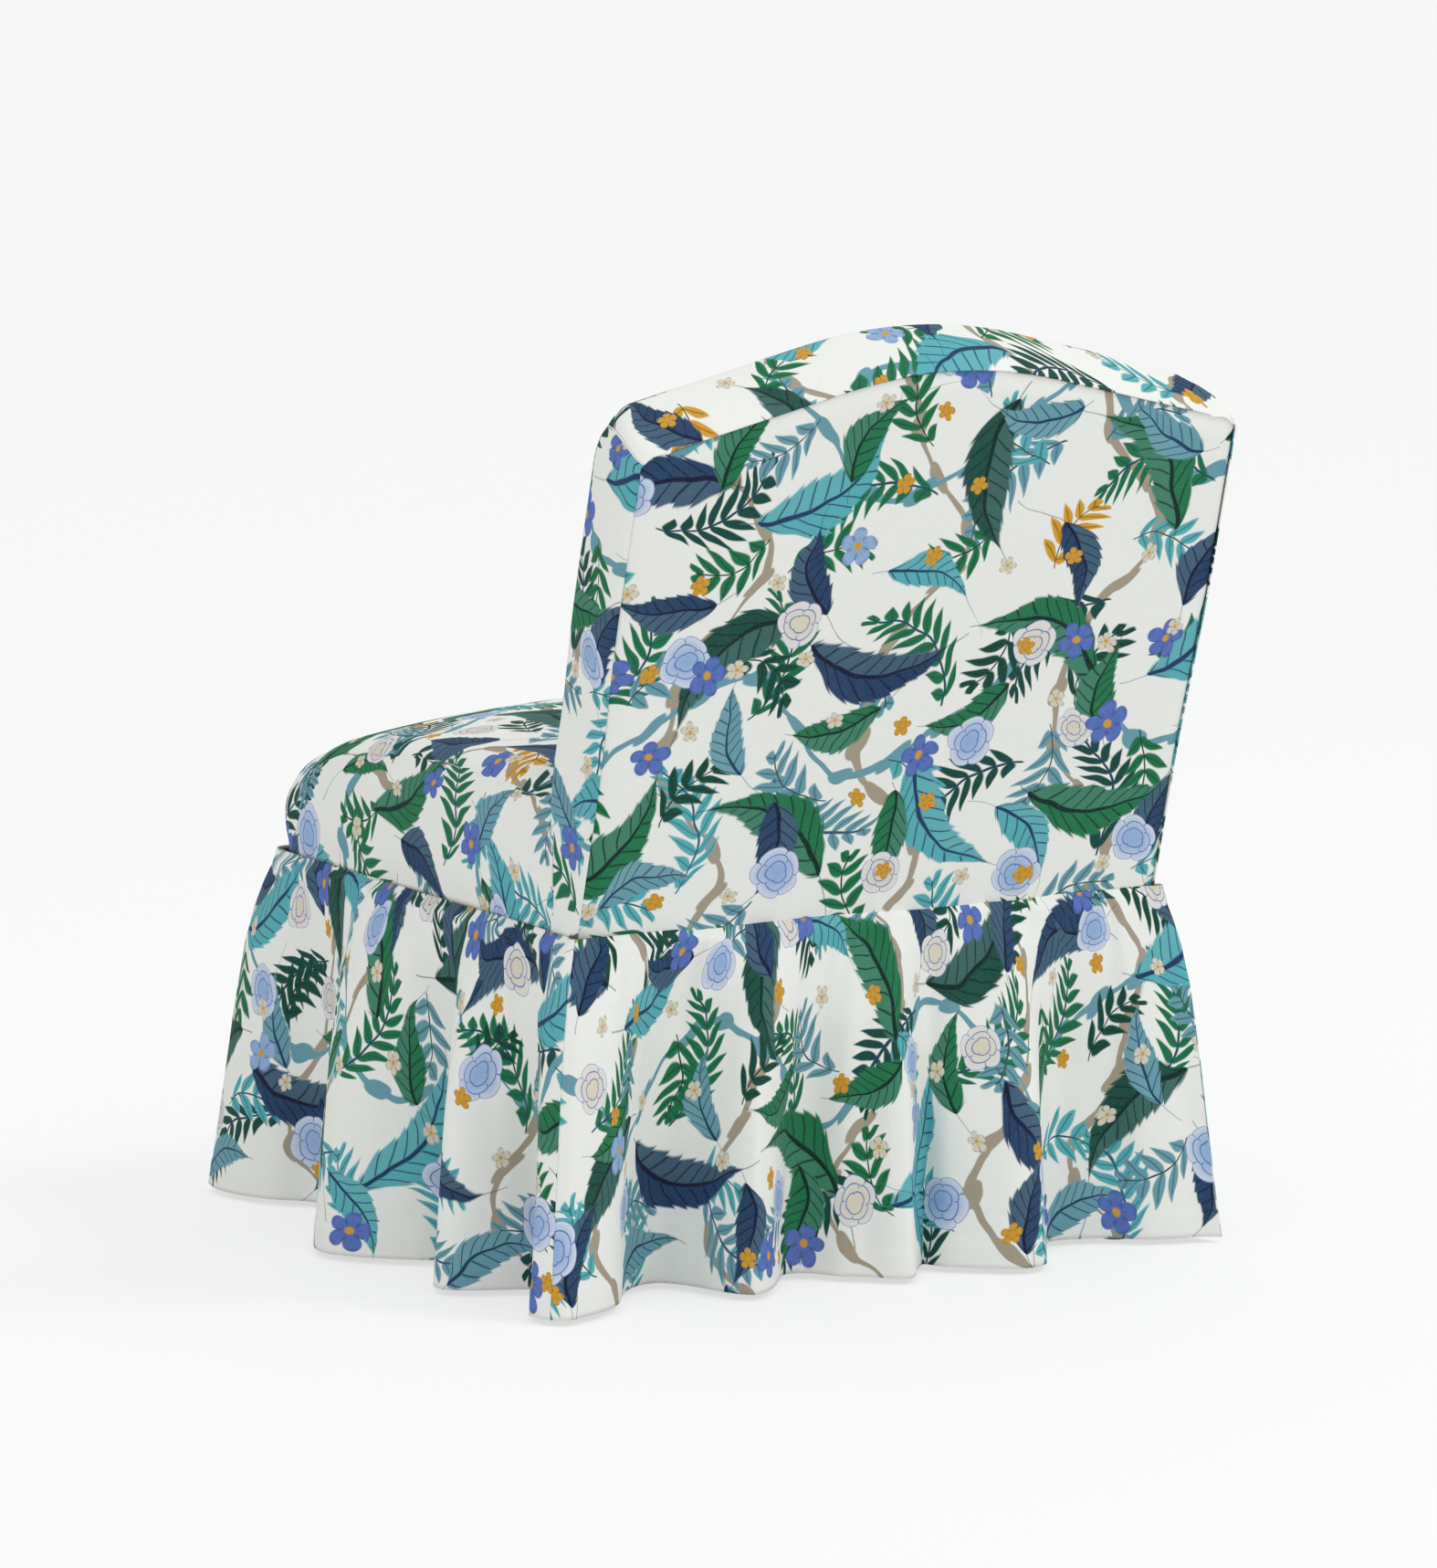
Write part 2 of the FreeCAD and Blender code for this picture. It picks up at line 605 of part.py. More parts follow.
def seat_section(y, inset, bottom, share):
    """One section of the seat; share is 0 on the flat of the front and 1 behind the roll."""
    front = -float(half_depth)
    crown_y = front + 0.66 * (float(crease) - front)
    fall = mm.seat_fall * ((crown_y - y) / (crown_y - front)) ** 2
    crown = mm.waist_height + mm.seat_rise - inset - fall - mm.seat_roll * (1 - share)
    drop = mm.seat_side_drop * (0.75 + 0.25 * share)
    radius = (mm.shoulder_radius - inset) * (0.35 + 0.65 * share)
    half = float(half_width) - inset - (mm.corner_radius - inset) * (1 - share)
    shoulder = crown - drop
    low = shoulder - radius
    wide = half + mm.side_swell * share
    turn = radius * math.sqrt(0.5)
    points = {
        "floor": Vector(half, y, bottom),
        "waist": Vector(half, y, mm.waist_height - 1),
        "low": Vector(wide, y, low),
        "turn": Vector(wide - radius + turn, y, low + turn),
        "shoulder": Vector(wide - radius, y, shoulder),
        "crown": Vector(0, y, crown),
    }
    other = {key: Vector(-p.x, p.y, p.z) for key, p in points.items()}
    return Part.Wire([
        Part.makeLine(other["floor"], points["floor"]),
        Part.makeLine(points["floor"], points["waist"]),
        Part.makeLine(points["waist"], points["low"]),
        arc_through(points["low"], points["turn"], points["shoulder"]),
        arc_through(points["shoulder"], points["crown"], other["shoulder"]),
        arc_through(other["shoulder"], other["turn"], other["low"]),
        Part.makeLine(other["low"], other["waist"]),
        Part.makeLine(other["waist"], other["floor"]),
    ])


def seat_form(inset, bottom, end):
    """The seat's outer form, made smaller all round by an inset."""
    front = -float(half_depth) + inset
    roll = mm.corner_radius - inset
    sections = []
    for angle in (0, 35, 90):
        share = math.sin(math.radians(angle))
        y = front + roll * (1 - math.cos(math.radians(angle)))
        sections.append(seat_section(y, inset, bottom, share))
    spans = 3
    first = front + roll
    for k in range(1, spans + 1):
        sections.append(seat_section(first + (end - first) * k / spans, inset, bottom, 1))
    return Part.makeLoft(sections, True, True)


cover_bottom = mm.waist_height - mm.cover_tuck
foam_inset = mm.cover_thickness + mm.ease
seat_end = float(crease) - mm.ease / 2
seat_outer = seat_form(0, cover_bottom, seat_end)
seat_inner = seat_form(mm.cover_thickness, cover_bottom - 10, seat_end + 10)
add_part("seat_cover", seat_outer.cut(seat_inner))

foam_bottom = float(rail_top) + mm.clip_thickness + mm.spring_wire + 2 * mm.ease
foam_block = seat_form(foam_inset, cover_bottom, seat_end - mm.ease)


def room_below(level):
    return Part.makeBox(
        2 * mm.body_width, 2 * mm.body_depth, level, Vector(-mm.body_width, -mm.body_depth, 0))


deck_space = arch_prism(
    deck_half + mm.ease, -mm.webbing_width, deck_high + mm.ease,
    deck_start - mm.ease, seat_end + mm.webbing_width)
add_part("seat_foam", foam_block.cut([room_below(foam_bottom), deck_space]))

# Wadding round the seat frame, between the rails and the cover.
wadding_in = frame_side + s.ease
wadding_out = wadding_in + s.wadding_thickness
foam_seat = Size(foam_bottom) - s.ease
for side, sign in (("left", 1), ("right", -1)):
    low, high = sorted((wadding_in * sign, wadding_out * sign), key=float)
    padded(f"{side}_rail_wadding", "YZ_Plane",
           box_corners(s.corner_radius - half_depth, frame_rear,
                       s.waist_height - s.cover_tuck, foam_seat), low, high)
front_wadding = half_width - s.corner_radius
padded("front_rail_wadding", "XZ_Plane",
       box_corners(-front_wadding, front_wadding, s.waist_height - s.cover_tuck, foam_seat),
       -frame_front + s.ease, -frame_front + s.ease + s.wadding_thickness)


# Soft back: sections from side to side, each a slice through the raked, crowned back.
def on_back(x, up, inward):
    y = float(half_depth) + up * math.sin(lean) - inward * math.cos(lean)
    z = mm.waist_height + up * math.cos(lean) + inward * math.sin(lean)
    return Vector(x, y, z)


def crest_line(x):
    """Height of the crest seam up the back, at a distance from the middle."""
    half = float(half_width)
    angle, tangent_x, tangent_y = crest_tangent(
        half, mm.crest_corner, mm.crest_apex, mm.crest_radius)
    if abs(x) > tangent_x:
        return tangent_y - math.tan(angle) * (abs(x) - tangent_x)
    return mm.crest_apex - mm.crest_radius + math.sqrt(mm.crest_radius**2 - x**2)


def back_section(x, share, inset, rear, bottom):
    """One slice; share is 0 on the flat of the side and 1 inside its rounding."""
    half = float(half_width) - inset
    seam = crest_line(x) - inset
    rounding = (mm.back_edge - inset) * (1 - share)
    front = mm.back_thickness - inset - rounding
    crown = mm.crest_crown * (0.12 + 0.88 * share)
    swell = 1 + mm.back_crown * (1 - (x / half) ** 2) * share
    front_low_y = float(crease) + inset + rounding * 0.15
    up = (front_low_y - float(half_depth) + front * math.cos(lean)) / math.sin(lean)
    middle = front * 0.5
    rear_low = on_back(x, 0, rear)
    corners = {
        "rear_low": Vector(x, rear_low.y, bottom),
        "rear_waist": rear_low,
        "seam": on_back(x, seam, rear),
        "rear_turn": on_back(x, seam + crown * 0.72, rear + (middle - rear) * 0.36),
        "top": on_back(x, seam + crown, middle),
        "front_turn": on_back(x, seam + crown * 0.62 - mm.brow_drop * 0.38, front - (front - middle) * 0.22),
        "brow": on_back(x, seam - mm.brow_drop, front),
        "belly": on_back(x, (seam - mm.brow_drop + up) / 2, front + swell),
        "crease": on_back(x, up, front),
        "front_low": Vector(x, front_low_y, bottom),
    }
    return Part.Wire([
        Part.makeLine(corners["rear_low"], corners["rear_waist"]),
        Part.makeLine(corners["rear_waist"], corners["seam"]),
        arc_through(corners["seam"], corners["rear_turn"], corners["top"]),
        arc_through(corners["top"], corners["front_turn"], corners["brow"]),
        arc_through(corners["brow"], corners["belly"], corners["crease"]),
        Part.makeLine(corners["crease"], corners["front_low"]),
        Part.makeLine(corners["front_low"], corners["rear_low"]),
    ])


def back_form(inset, rear, bottom):
    half = float(half_width) - inset
    rounding = mm.back_edge - inset
    stations = []
    for angle in (0, 35, 90):
        turn = math.radians(angle)
        stations.append((half - rounding * (1 - math.cos(turn)), math.sin(turn)))
    inner = half - rounding
    stations += [(inner * share, 1) for share in (0.42, 0.21)]
    mirrored = [(-x, share) for x, share in stations] + [(0, 1)] + stations[::-1]
    sections = [back_section(x, share, inset, rear, bottom) for x, share in mirrored]
    return Part.makeLoft(sections, True, True)


back_outer = back_form(0, 0, cover_bottom)
back_inner = back_form(mm.cover_thickness, 0, cover_bottom - 10)
add_part("inside_back_cover", back_outer.cut(back_inner))

foam_low = mm.waist_height + mm.foam_level
back_block = back_form(foam_inset, float(wadding_low), cover_bottom)


def frame_space():
    """The room that the back frame and its webbing take out of the foam."""
    half = float(frame_side) + mm.ease
    inset = mm.crest_padding - mm.ease
    corner, apex = mm.crest_corner - inset, mm.crest_apex - inset
    radius = mm.crest_radius - inset
    angle, x, y = crest_tangent(half, corner, apex, radius)
    low = -mm.foam_level
    deep = float(burlap_top) + mm.ease
    points = [
        Vector(-half, low, 0), Vector(half, low, 0), Vector(half, corner, 0),
        Vector(x, y, 0), Vector(-x, y, 0), Vector(-half, corner, 0),
    ]
    edges = [Part.makeLine(points[k], points[k + 1]) for k in (0, 1, 2)]
    edges.append(arc_through(points[3], Vector(0, apex, 0), points[4]))
    edges.append(Part.makeLine(points[4], points[5]))
    edges.append(Part.makeLine(points[5], points[0]))
    space = Part.Face(Part.Wire(edges)).extrude(Vector(0, 0, deep + mm.frame_depth))
    space.translate(Vector(0, 0, -mm.frame_depth))
    space.Placement = Placement(
        Vector(0, float(half_depth), mm.waist_height), leaning.Rotation).multiply(space.Placement)
    return space


add_part("back_foam", back_block.cut([room_below(foam_low), frame_space()]))


# Gathered skirt. Each side is one length of cloth. At every level its line runs square out of
# one mitre, along flat tops and bottoms joined by rounded steps, and into the other mitre. The
# steps have the same slopes at all levels, so that the folds open steadily towards the hem and
# every narrow strip of cloth between two levels is flat.
BEND_STRIPS = 3


def bend(x, y, radius, start, end):
    """Points round a bend, from one angle to another."""
    turns = [start + (end - start) * k / BEND_STRIPS for k in range(BEND_STRIPS + 1)]
    return [(x + radius * math.cos(turn), y + radius * math.sin(turn)) for turn in turns]


def step(middle, start, end):
    """A rounded step from one height to another: bend, straight flank, bend."""
    rise = abs(end - start)
    way = 1 if end > start else -1
    turn = math.radians(mm.flank_angle)
    radius = 0.3 * rise
    straight = (rise - 2 * radius * (1 - math.cos(turn))) / math.sin(turn)
    reach = radius * math.sin(turn) + straight * math.cos(turn) / 2
    low = bend(-reach, radius - rise / 2, radius, -math.pi / 2, turn - math.pi / 2)
    high = [(-x, -y) for x, y in low[::-1]]
    return [(middle + x, (start + end) / 2 + y * way) for x, y in low + high]


def fold_line(label, length, level, thickness, z):
    """The cloth's line, set in by a thickness; level is 0 at the heading and 2 at the hem."""
    fullness = (0, 0.62, 1)[level]
    ripple = mm.gather_depth / 2
    first_corner, valley, flanks, last_corner = FOLDS[label]

    def height(heading, hem):
        return heading + (hem - heading) * fullness

    def corner(name):
        """Centre and radius of the corner fold's round end."""
        reach = getattr(mm, name)
        return height(0, reach * 0.52), height(mm.skirt_standoff + ripple, reach * 0.48)

    def out(share):
        heading = mm.skirt_standoff + math.copysign(ripple, share - 0.5)
        return height(heading, share * mm.fold_reach * length)

    def mitre(name):
        centre, radius = corner(name)
        across = length / 2 + centre - mm.ease
        return bend(across, centre, radius - thickness, math.pi / 2, math.pi / 4)

    edge = length / 2 - mm.corner_flank
    stops = [(-edge, out(valley))] + [(place * length, out(share)) for place, share in flanks]
    stops.append((edge, sum(corner(last_corner))))
    before = sum(corner(first_corner))
    points = []
    for place, after in stops:
        points += step(place, before, after)
        before = after
    lowered = [(x, y - thickness) for x, y in points]
    line = [(-x, y) for x, y in mitre(first_corner)[::-1]] + lowered + mitre(last_corner)
    return [Vector(x, y, z) for x, y in line]


def flat_face(corners):
    return Part.Face(Part.makePolygon(corners + corners[:1]))


def skirt_panel(label, length):
    levels = (mm.waist_height, mm.waist_height - mm.heading_drop, mm.hem_clearance)
    strip_face = mm.strip_thickness + 2 * mm.ease
    heading = mm.skirt_standoff - mm.gather_depth / 2 - strip_face
    rings = []
    for level, z in enumerate(levels):
        thickness = mm.skirt_thickness if level else heading
        outer = fold_line(label, length, level, 0, z)
        rings.append(outer + fold_line(label, length, level, thickness, z)[::-1])
    faces = [flat_face(rings[0]), flat_face(rings[-1])]
    for above, below in zip(rings, rings[1:]):
        for k in range(len(above)):
            faces.append(flat_face([above[k - 1], above[k], below[k], below[k - 1]]))
    return Part.Solid(Part.Shell(faces))


def skirt_side(label, length, distance, turn):
    """Stand one panel on its side of the chair: turn is measured from the front."""
    panel = skirt_panel(label, length)
    place = Placement(Vector(0, centring, 0), Rotation(Vector(0, 0, 1), turn))
    offset = Placement(Vector(0, distance, 0), Rotation())
    add_part(label, panel, place.multiply(offset))


skirt_side("skirt_rear", mm.body_width, float(half_depth), 0)
skirt_side("skirt_right", mm.body_depth, float(half_width), 90)
skirt_side("skirt_front", mm.body_width, float(half_depth), 180)
skirt_side("skirt_left", mm.body_depth, float(half_width), -90)

# Cardboard tack strips, inside the heading on each side.
def tack_strip(length, distance, turn, shift=0):
    box = Part.makeBox(
        length, mm.strip_thickness, mm.strip_height,
        Vector(shift - length / 2, distance + mm.ease, mm.waist_height - mm.strip_height))
    box.Placement = Placement(Vector(), Rotation(Vector(0, 0, 1), turn)).multiply(box.Placement)
    return box


front_strip = mm.body_width - 2 * mm.corner_radius
side_strip = mm.body_depth - mm.corner_radius
grouped("skirt_tack_strips", [
    tack_strip(mm.body_width, float(half_depth), 0),
    tack_strip(front_strip, float(half_depth), 180),
    tack_strip(side_strip, float(half_width), -90, -mm.corner_radius / 2),
    tack_strip(side_strip, float(half_width), 90, mm.corner_radius / 2),
])

# Cambric dust cover, tacked under the rails and notched round the four legs.
notch_x = leg_centre_x - s.leg_top / 2 - s.ease
notch_front = leg_centre_y + s.leg_top / 2 + s.ease
notch_rear = post_front - s.ease
cover_x = frame_side - s.rail_thickness / 3
cover_front = frame_front + s.rail_thickness / 3
cover_rear = frame_rear - s.rail_thickness / 3
post_notch = post_inside - s.ease
padded("dust_cover", "XY_Plane", [
    (-notch_x, cover_front), (notch_x, cover_front), (notch_x, notch_front),
    (cover_x, notch_front), (cover_x, notch_rear), (post_notch, notch_rear),
    (post_notch, cover_rear), (-post_notch, cover_rear), (-post_notch, notch_rear),
    (-cover_x, notch_rear), (-cover_x, notch_front), (-notch_x, notch_front),
], rail_bottom - s.dust_cover_thickness, rail_bottom)

doc.recompute()
failed = [item.Name for item in doc.Objects if {"Invalid", "Error"} & set(item.State)]
if failed:
    raise RuntimeError(f"objects failed: {failed}")
os.makedirs("parts", exist_ok=True)
for part in parts:
    shape = part.Shape
    if shape.isNull() or not shape.isValid():
        raise RuntimeError(f"{part.Label} has no valid shape")
    shape.exportStep(f"parts/{part.Label}.step")
print(len(parts), "sub-parts written")
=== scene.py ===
# %% [markdown]
# A slipper chair with a gathered skirt. The wooden frame, springs and legs come packed from CAD.
# This lesson dresses them: the tight covers, the skirt, the inner stuffing and every finish. The
# covers are cloth, so they are made as thin sheets that follow the stuffing, never as blocks.

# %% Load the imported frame
import math
import bpy
import numpy as np
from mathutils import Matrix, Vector


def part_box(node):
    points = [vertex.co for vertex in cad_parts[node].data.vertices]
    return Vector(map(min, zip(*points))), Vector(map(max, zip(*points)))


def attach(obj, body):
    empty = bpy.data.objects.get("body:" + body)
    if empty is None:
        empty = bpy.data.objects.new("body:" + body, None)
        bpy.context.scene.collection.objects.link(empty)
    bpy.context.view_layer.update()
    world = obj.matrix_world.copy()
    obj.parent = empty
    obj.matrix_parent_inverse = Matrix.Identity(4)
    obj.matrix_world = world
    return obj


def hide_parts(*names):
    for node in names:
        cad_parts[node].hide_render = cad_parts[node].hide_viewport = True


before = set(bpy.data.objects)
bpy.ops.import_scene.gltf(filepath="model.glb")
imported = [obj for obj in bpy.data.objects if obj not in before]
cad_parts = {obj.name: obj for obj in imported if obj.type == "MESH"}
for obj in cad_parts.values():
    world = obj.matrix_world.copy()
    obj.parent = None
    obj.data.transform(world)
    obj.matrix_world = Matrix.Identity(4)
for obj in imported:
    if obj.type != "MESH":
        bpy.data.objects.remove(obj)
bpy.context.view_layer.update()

# %% [markdown]
# Measure the frame first. The seat cover's front face and the skirt's top edge give the two
# lines that all the cloth is set out from: the front of the body and the waist seam.

# %% Lines of the body, in metres
HALF_WIDTH = 0.305
DEPTH = 0.602
RAKE = math.radians(16.25)
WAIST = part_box("skirt_rear")[1].z
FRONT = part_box("seat_cover")[0].y
REAR = FRONT + DEPTH
MIDDLE = FRONT + DEPTH / 2
CREASE = REAR - 0.055
print("waist seam at", round(WAIST, 4), "front at", round(FRONT, 4), "crease at", round(CREASE, 4))

# %% [markdown]
# The camera comes early. It stands behind the chair and to the sitter's left, far off with a long
# lens, so the sides stay nearly parallel.

# %% Camera
eye = Vector((4.846, 8.594, 1.936))
aim = Vector((-0.0082, -0.0211, 0.4130))
camera_data = bpy.data.cameras.new("camera")
camera_data.lens = 244.6
camera_data.clip_end = 60
camera = bpy.data.objects.new("camera", camera_data)
camera.location = eye
camera.rotation_euler = (aim - eye).to_track_quat("-Z", "Y").to_euler()
bpy.context.scene.collection.objects.link(camera)
bpy.context.scene.camera = camera
print("camera stands", round((aim - eye).length, 2), "m away")

# %% [markdown]
# Helpers for shaping. A piece starts as a primitive that is subdivided in edit mode. A shaping
# function then moves each point, as a hand would push clay, and the points keep their order.

# %% Adding and selecting
def mode(name):
    bpy.ops.object.mode_set(mode=name)


def nothing_selected():
    if bpy.context.mode != "OBJECT":
        mode("OBJECT")
    bpy.ops.object.select_all(action="DESELECT")


def chosen(piece):
    nothing_selected()
    piece.select_set(True)
    bpy.context.view_layer.objects.active = piece


def on_all_faces(operator, **settings):
    """Run an operator of edit mode on the whole of the active piece."""
    mode("EDIT")
    bpy.ops.mesh.select_all(action="SELECT")
    operator(**settings)
    mode("OBJECT")


def primitive(kind, name, **settings):
    """A named primitive that reaches from -1 to 1 on each of its axes."""
    nothing_selected()
    kind(size=2, location=(0, 0, 0), **settings)
    piece = bpy.context.object
    piece.name = piece.data.name = name
    return piece


def clay_block(name, cuts):
    """A cube with every face cut into a fine grid."""
    block = primitive(bpy.ops.mesh.primitive_cube_add, name)
    on_all_faces(bpy.ops.mesh.subdivide, number_cuts=cuts)
    return block


def drop_faces(piece, unwanted):
    """Delete the faces whose centre the test picks out."""
    chosen(piece)
    mode("EDIT")
    bpy.ops.mesh.select_mode(type="FACE")
    bpy.ops.mesh.select_all(action="DESELECT")
    mode("OBJECT")
    for face in piece.data.polygons:
        face.select = unwanted(face.center)
    mode("EDIT")
    bpy.ops.mesh.delete(type="FACE")
    mode("OBJECT")


def finish_with(piece, kind, **settings):
    """Add a modifier and apply it straight away."""
    chosen(piece)
    step = piece.modifiers.new(kind.lower(), kind)
    for key, value in settings.items():
        setattr(step, key, value)
    bpy.ops.object.modifier_apply(modifier=step.name)


def smooth_faces(piece):
    chosen(piece)
    bpy.ops.object.shade_smooth()


print("selecting is ready")

# %% Moving points
def points_of(piece):
    flat = np.empty(len(piece.data.vertices) * 3)
    piece.data.vertices.foreach_get("co", flat)
    return flat.reshape(-1, 3)


def beside(*parts):
    """Points from one array or number for each axis."""
    return np.column_stack(np.broadcast_arrays(*parts))


def move_points(piece, points):
    piece.data.vertices.foreach_set("co", np.asarray(points, float).ravel())
    piece.data.update()


def smooth_step(x):
    x = np.clip(x, 0, 1)
    return x * x * (3 - 2 * x)


def lay_print(piece, across, along):
    """Give every point its place on the printed cloth, in metres."""
    layer = piece.data.uv_layers.new(name="cloth")
    corner_points = np.empty(len(piece.data.loops), int)
    piece.data.loops.foreach_get("vertex_index", corner_points)
    places = np.stack([across[corner_points], along[corner_points]], 1)
    layer.data.foreach_set("uv", places.ravel())


def rounded(point, low, high, radius):
    """Pull the points of a box's skin onto its rounded edges; a radius is one for each axis."""
    inner = np.clip(point, low + radius, high - radius)
    out = (point - inner) / radius
    reach = np.linalg.norm(out, axis=1, keepdims=True)
    return np.where(reach > 1, inner + out / np.maximum(reach, 1e-9) * radius, point)


def gathered_to_edges(x, pull=0.8):
    """Spread grid lines so that they lie closer together near -1 and 1."""
    return np.sin(x * math.pi / 2 * pull) / math.sin(math.pi / 2 * pull)


def between(low, high, lines, pull):
    """Places from low to high, for grid lines from -1 to 1."""
    return low + (high - low) * (gathered_to_edges(lines, pull) + 1) / 2


print("moving points is ready")

# %% [markdown]
# The seat. On the real chair one piece of cloth runs over a crowned foam pad, down the front
# and down both sides to the waist seam, drawn in slightly where it is tacked. A cube could be
# sculpted by hand, but a rounded box with a crown added gives the same swell on both sides.

# %% Seat form
SEAT_HALF = 0.3075
SEAT_LOW = WAIST - 0.030
SEAT_RISE = 0.134
SEAT_FALL = 0.046
FRONT_DROOP = 0.014
CROWN = 0.028
SEAT_EDGES = np.array([0.036, 0.040, 0.042])
CROWN_LINE = FRONT + 0.66 * (CREASE - FRONT)


def shoulder_height(y):
    """Height of the seat's side edge, which falls towards the front."""
    away = (CROWN_LINE - y) / (CROWN_LINE - FRONT)
    droop = FRONT_DROOP * smooth_step((FRONT + 0.14 - y) / 0.14)
    return WAIST + SEAT_RISE - SEAT_FALL * away**2 - droop


def seat_point(grid, inset=0.0, seat_low=SEAT_LOW, rear=CREASE - 0.0003):
    """Grid corners from -1 to 1 become points on the seat, made smaller by an inset."""
    half = SEAT_HALF - inset
    x = gathered_to_edges(grid[:, 0]) * half
    front = FRONT + inset
    y = between(front, rear, grid[:, 1], 0.7)
    top = shoulder_height(y) - inset
    z = between(seat_low, top, grid[:, 2], 0.7)
    low = np.array([-half, front, SEAT_LOW - 1])
    high = beside(half, rear + 1, top)
    x, y, z = rounded(beside(x, y, z), low, high, SEAT_EDGES - inset).T
    height = np.clip((z - WAIST) / (top - WAIST), 0, 1.2)
    crown = CROWN * (1 - (np.abs(x) / half) ** 2.2) * height**2
    front_sag = 1 - 0.35 * smooth_step((FRONT + 0.09 - y) / 0.09)
    tuck = 0.006 * np.exp(-((y - CREASE) / 0.012) ** 2) * height**2
    z = z + crown * front_sag - tuck
    drawn = 0.0025 * np.exp(-((z - WAIST - 0.004) / 0.014) ** 2) + 0.0015 * (z < WAIST)
    x = x - np.sign(x) * drawn * (np.abs(x) > half * 0.8)
    y = y + drawn * (y < FRONT + 0.05)
    return beside(x, y, z)


def seat_cloth_place(grid, point):
    """Where each point lies on the cloth: flat on top, straight on down the front and sides."""
    drop = shoulder_height(point[:, 1]) - point[:, 2]
    over_side = np.maximum(drop, 0) * (np.abs(grid[:, 0]) > 0.97)
    over_front = np.maximum(drop, 0) * (grid[:, 1] < -0.97) * (np.abs(grid[:, 0]) <= 0.97)
    return point[:, 0] + np.sign(grid[:, 0]) * over_side, point[:, 1] - over_front


print("seat's side edge ends at", round(float(shoulder_height(FRONT)), 4))

# %% Seat cover
BEHIND_CREASE = 0.012
seat = clay_block("seat_upholstery", 62)
drop_faces(seat, lambda c: c.z < -0.999 or c.y > 0.999)
seat_grid = points_of(seat)
seat_shape = seat_point(seat_grid, rear=CREASE + BEHIND_CREASE)
move_points(seat, seat_shape)
lay_print(seat, *seat_cloth_place(seat_grid, seat_shape))
print("seat crown at", round(seat_shape[:, 2].max(), 4))

# %% [markdown]
# The inside back. One piece of cloth covers the back's front, rolls over the crest and round
# both sides, and ends in the seam of the outside back. It is shaped lying down, as width, way
# up the rake and depth, and then leaned back.

# %% Lines of the back
BACK_DEPTH = 0.107
CREST_END = 0.468
CREST_TOP = 0.534
CREST_RADIUS = 0.430
SEAM_EDGE = 0.009
SIDE_SWELL = 0.009
BELLY = 0.014
DART = 0.0022


def crest_seam(x):
    """Height of the crest seam up the rake: straight shoulders that meet a low arc."""
    centre = CREST_TOP - CREST_RADIUS
    reach = math.hypot(HALF_WIDTH, CREST_END - centre)
    turn = math.atan2(HALF_WIDTH, CREST_END - centre) - math.acos(CREST_RADIUS / reach)
    meet = CREST_RADIUS * math.sin(turn)
    shoulder = centre + CREST_RADIUS * math.cos(turn) - math.tan(turn) * (np.abs(x) - meet)
    arc = centre + np.sqrt(CREST_RADIUS**2 - np.minimum(np.abs(x), meet) ** 2)
    return np.where(np.abs(x) > meet, shoulder, arc)


def leaned(x, up, inward):
    """From width, way up the rake and depth to the chair's own axes."""
    y = REAR + up * math.sin(RAKE) - inward * math.cos(RAKE)
    z = WAIST + up * math.cos(RAKE) + inward * math.sin(RAKE)
    return beside(x, y, z)


print("crest seam falls", round(float(crest_seam(0) - crest_seam(HALF_WIDTH)), 4), "to the sides")

# %% Back form
def back_depth_at(up):
    """The back's depth, which the upright crease behind the seat cuts short near the waist."""
    cut = (REAR - CREASE - 0.0006 + up * math.sin(RAKE)) / math.cos(RAKE)
    gap = (cut - BACK_DEPTH) / 0.012
    return BACK_DEPTH + 0.012 * np.where(gap > 30, 0, -np.logaddexp(0, -gap))


def side_swell(x, up, half):
    """How far the padding pushes the sides of the back out: most in the upper half."""
    swell = SIDE_SWELL * smooth_step((up - 0.12) / 0.2) * (1 - smooth_step((up - 0.465) / 0.05))
    return np.sign(x) * swell * smooth_step((np.abs(x) - half + 0.02) / 0.02)


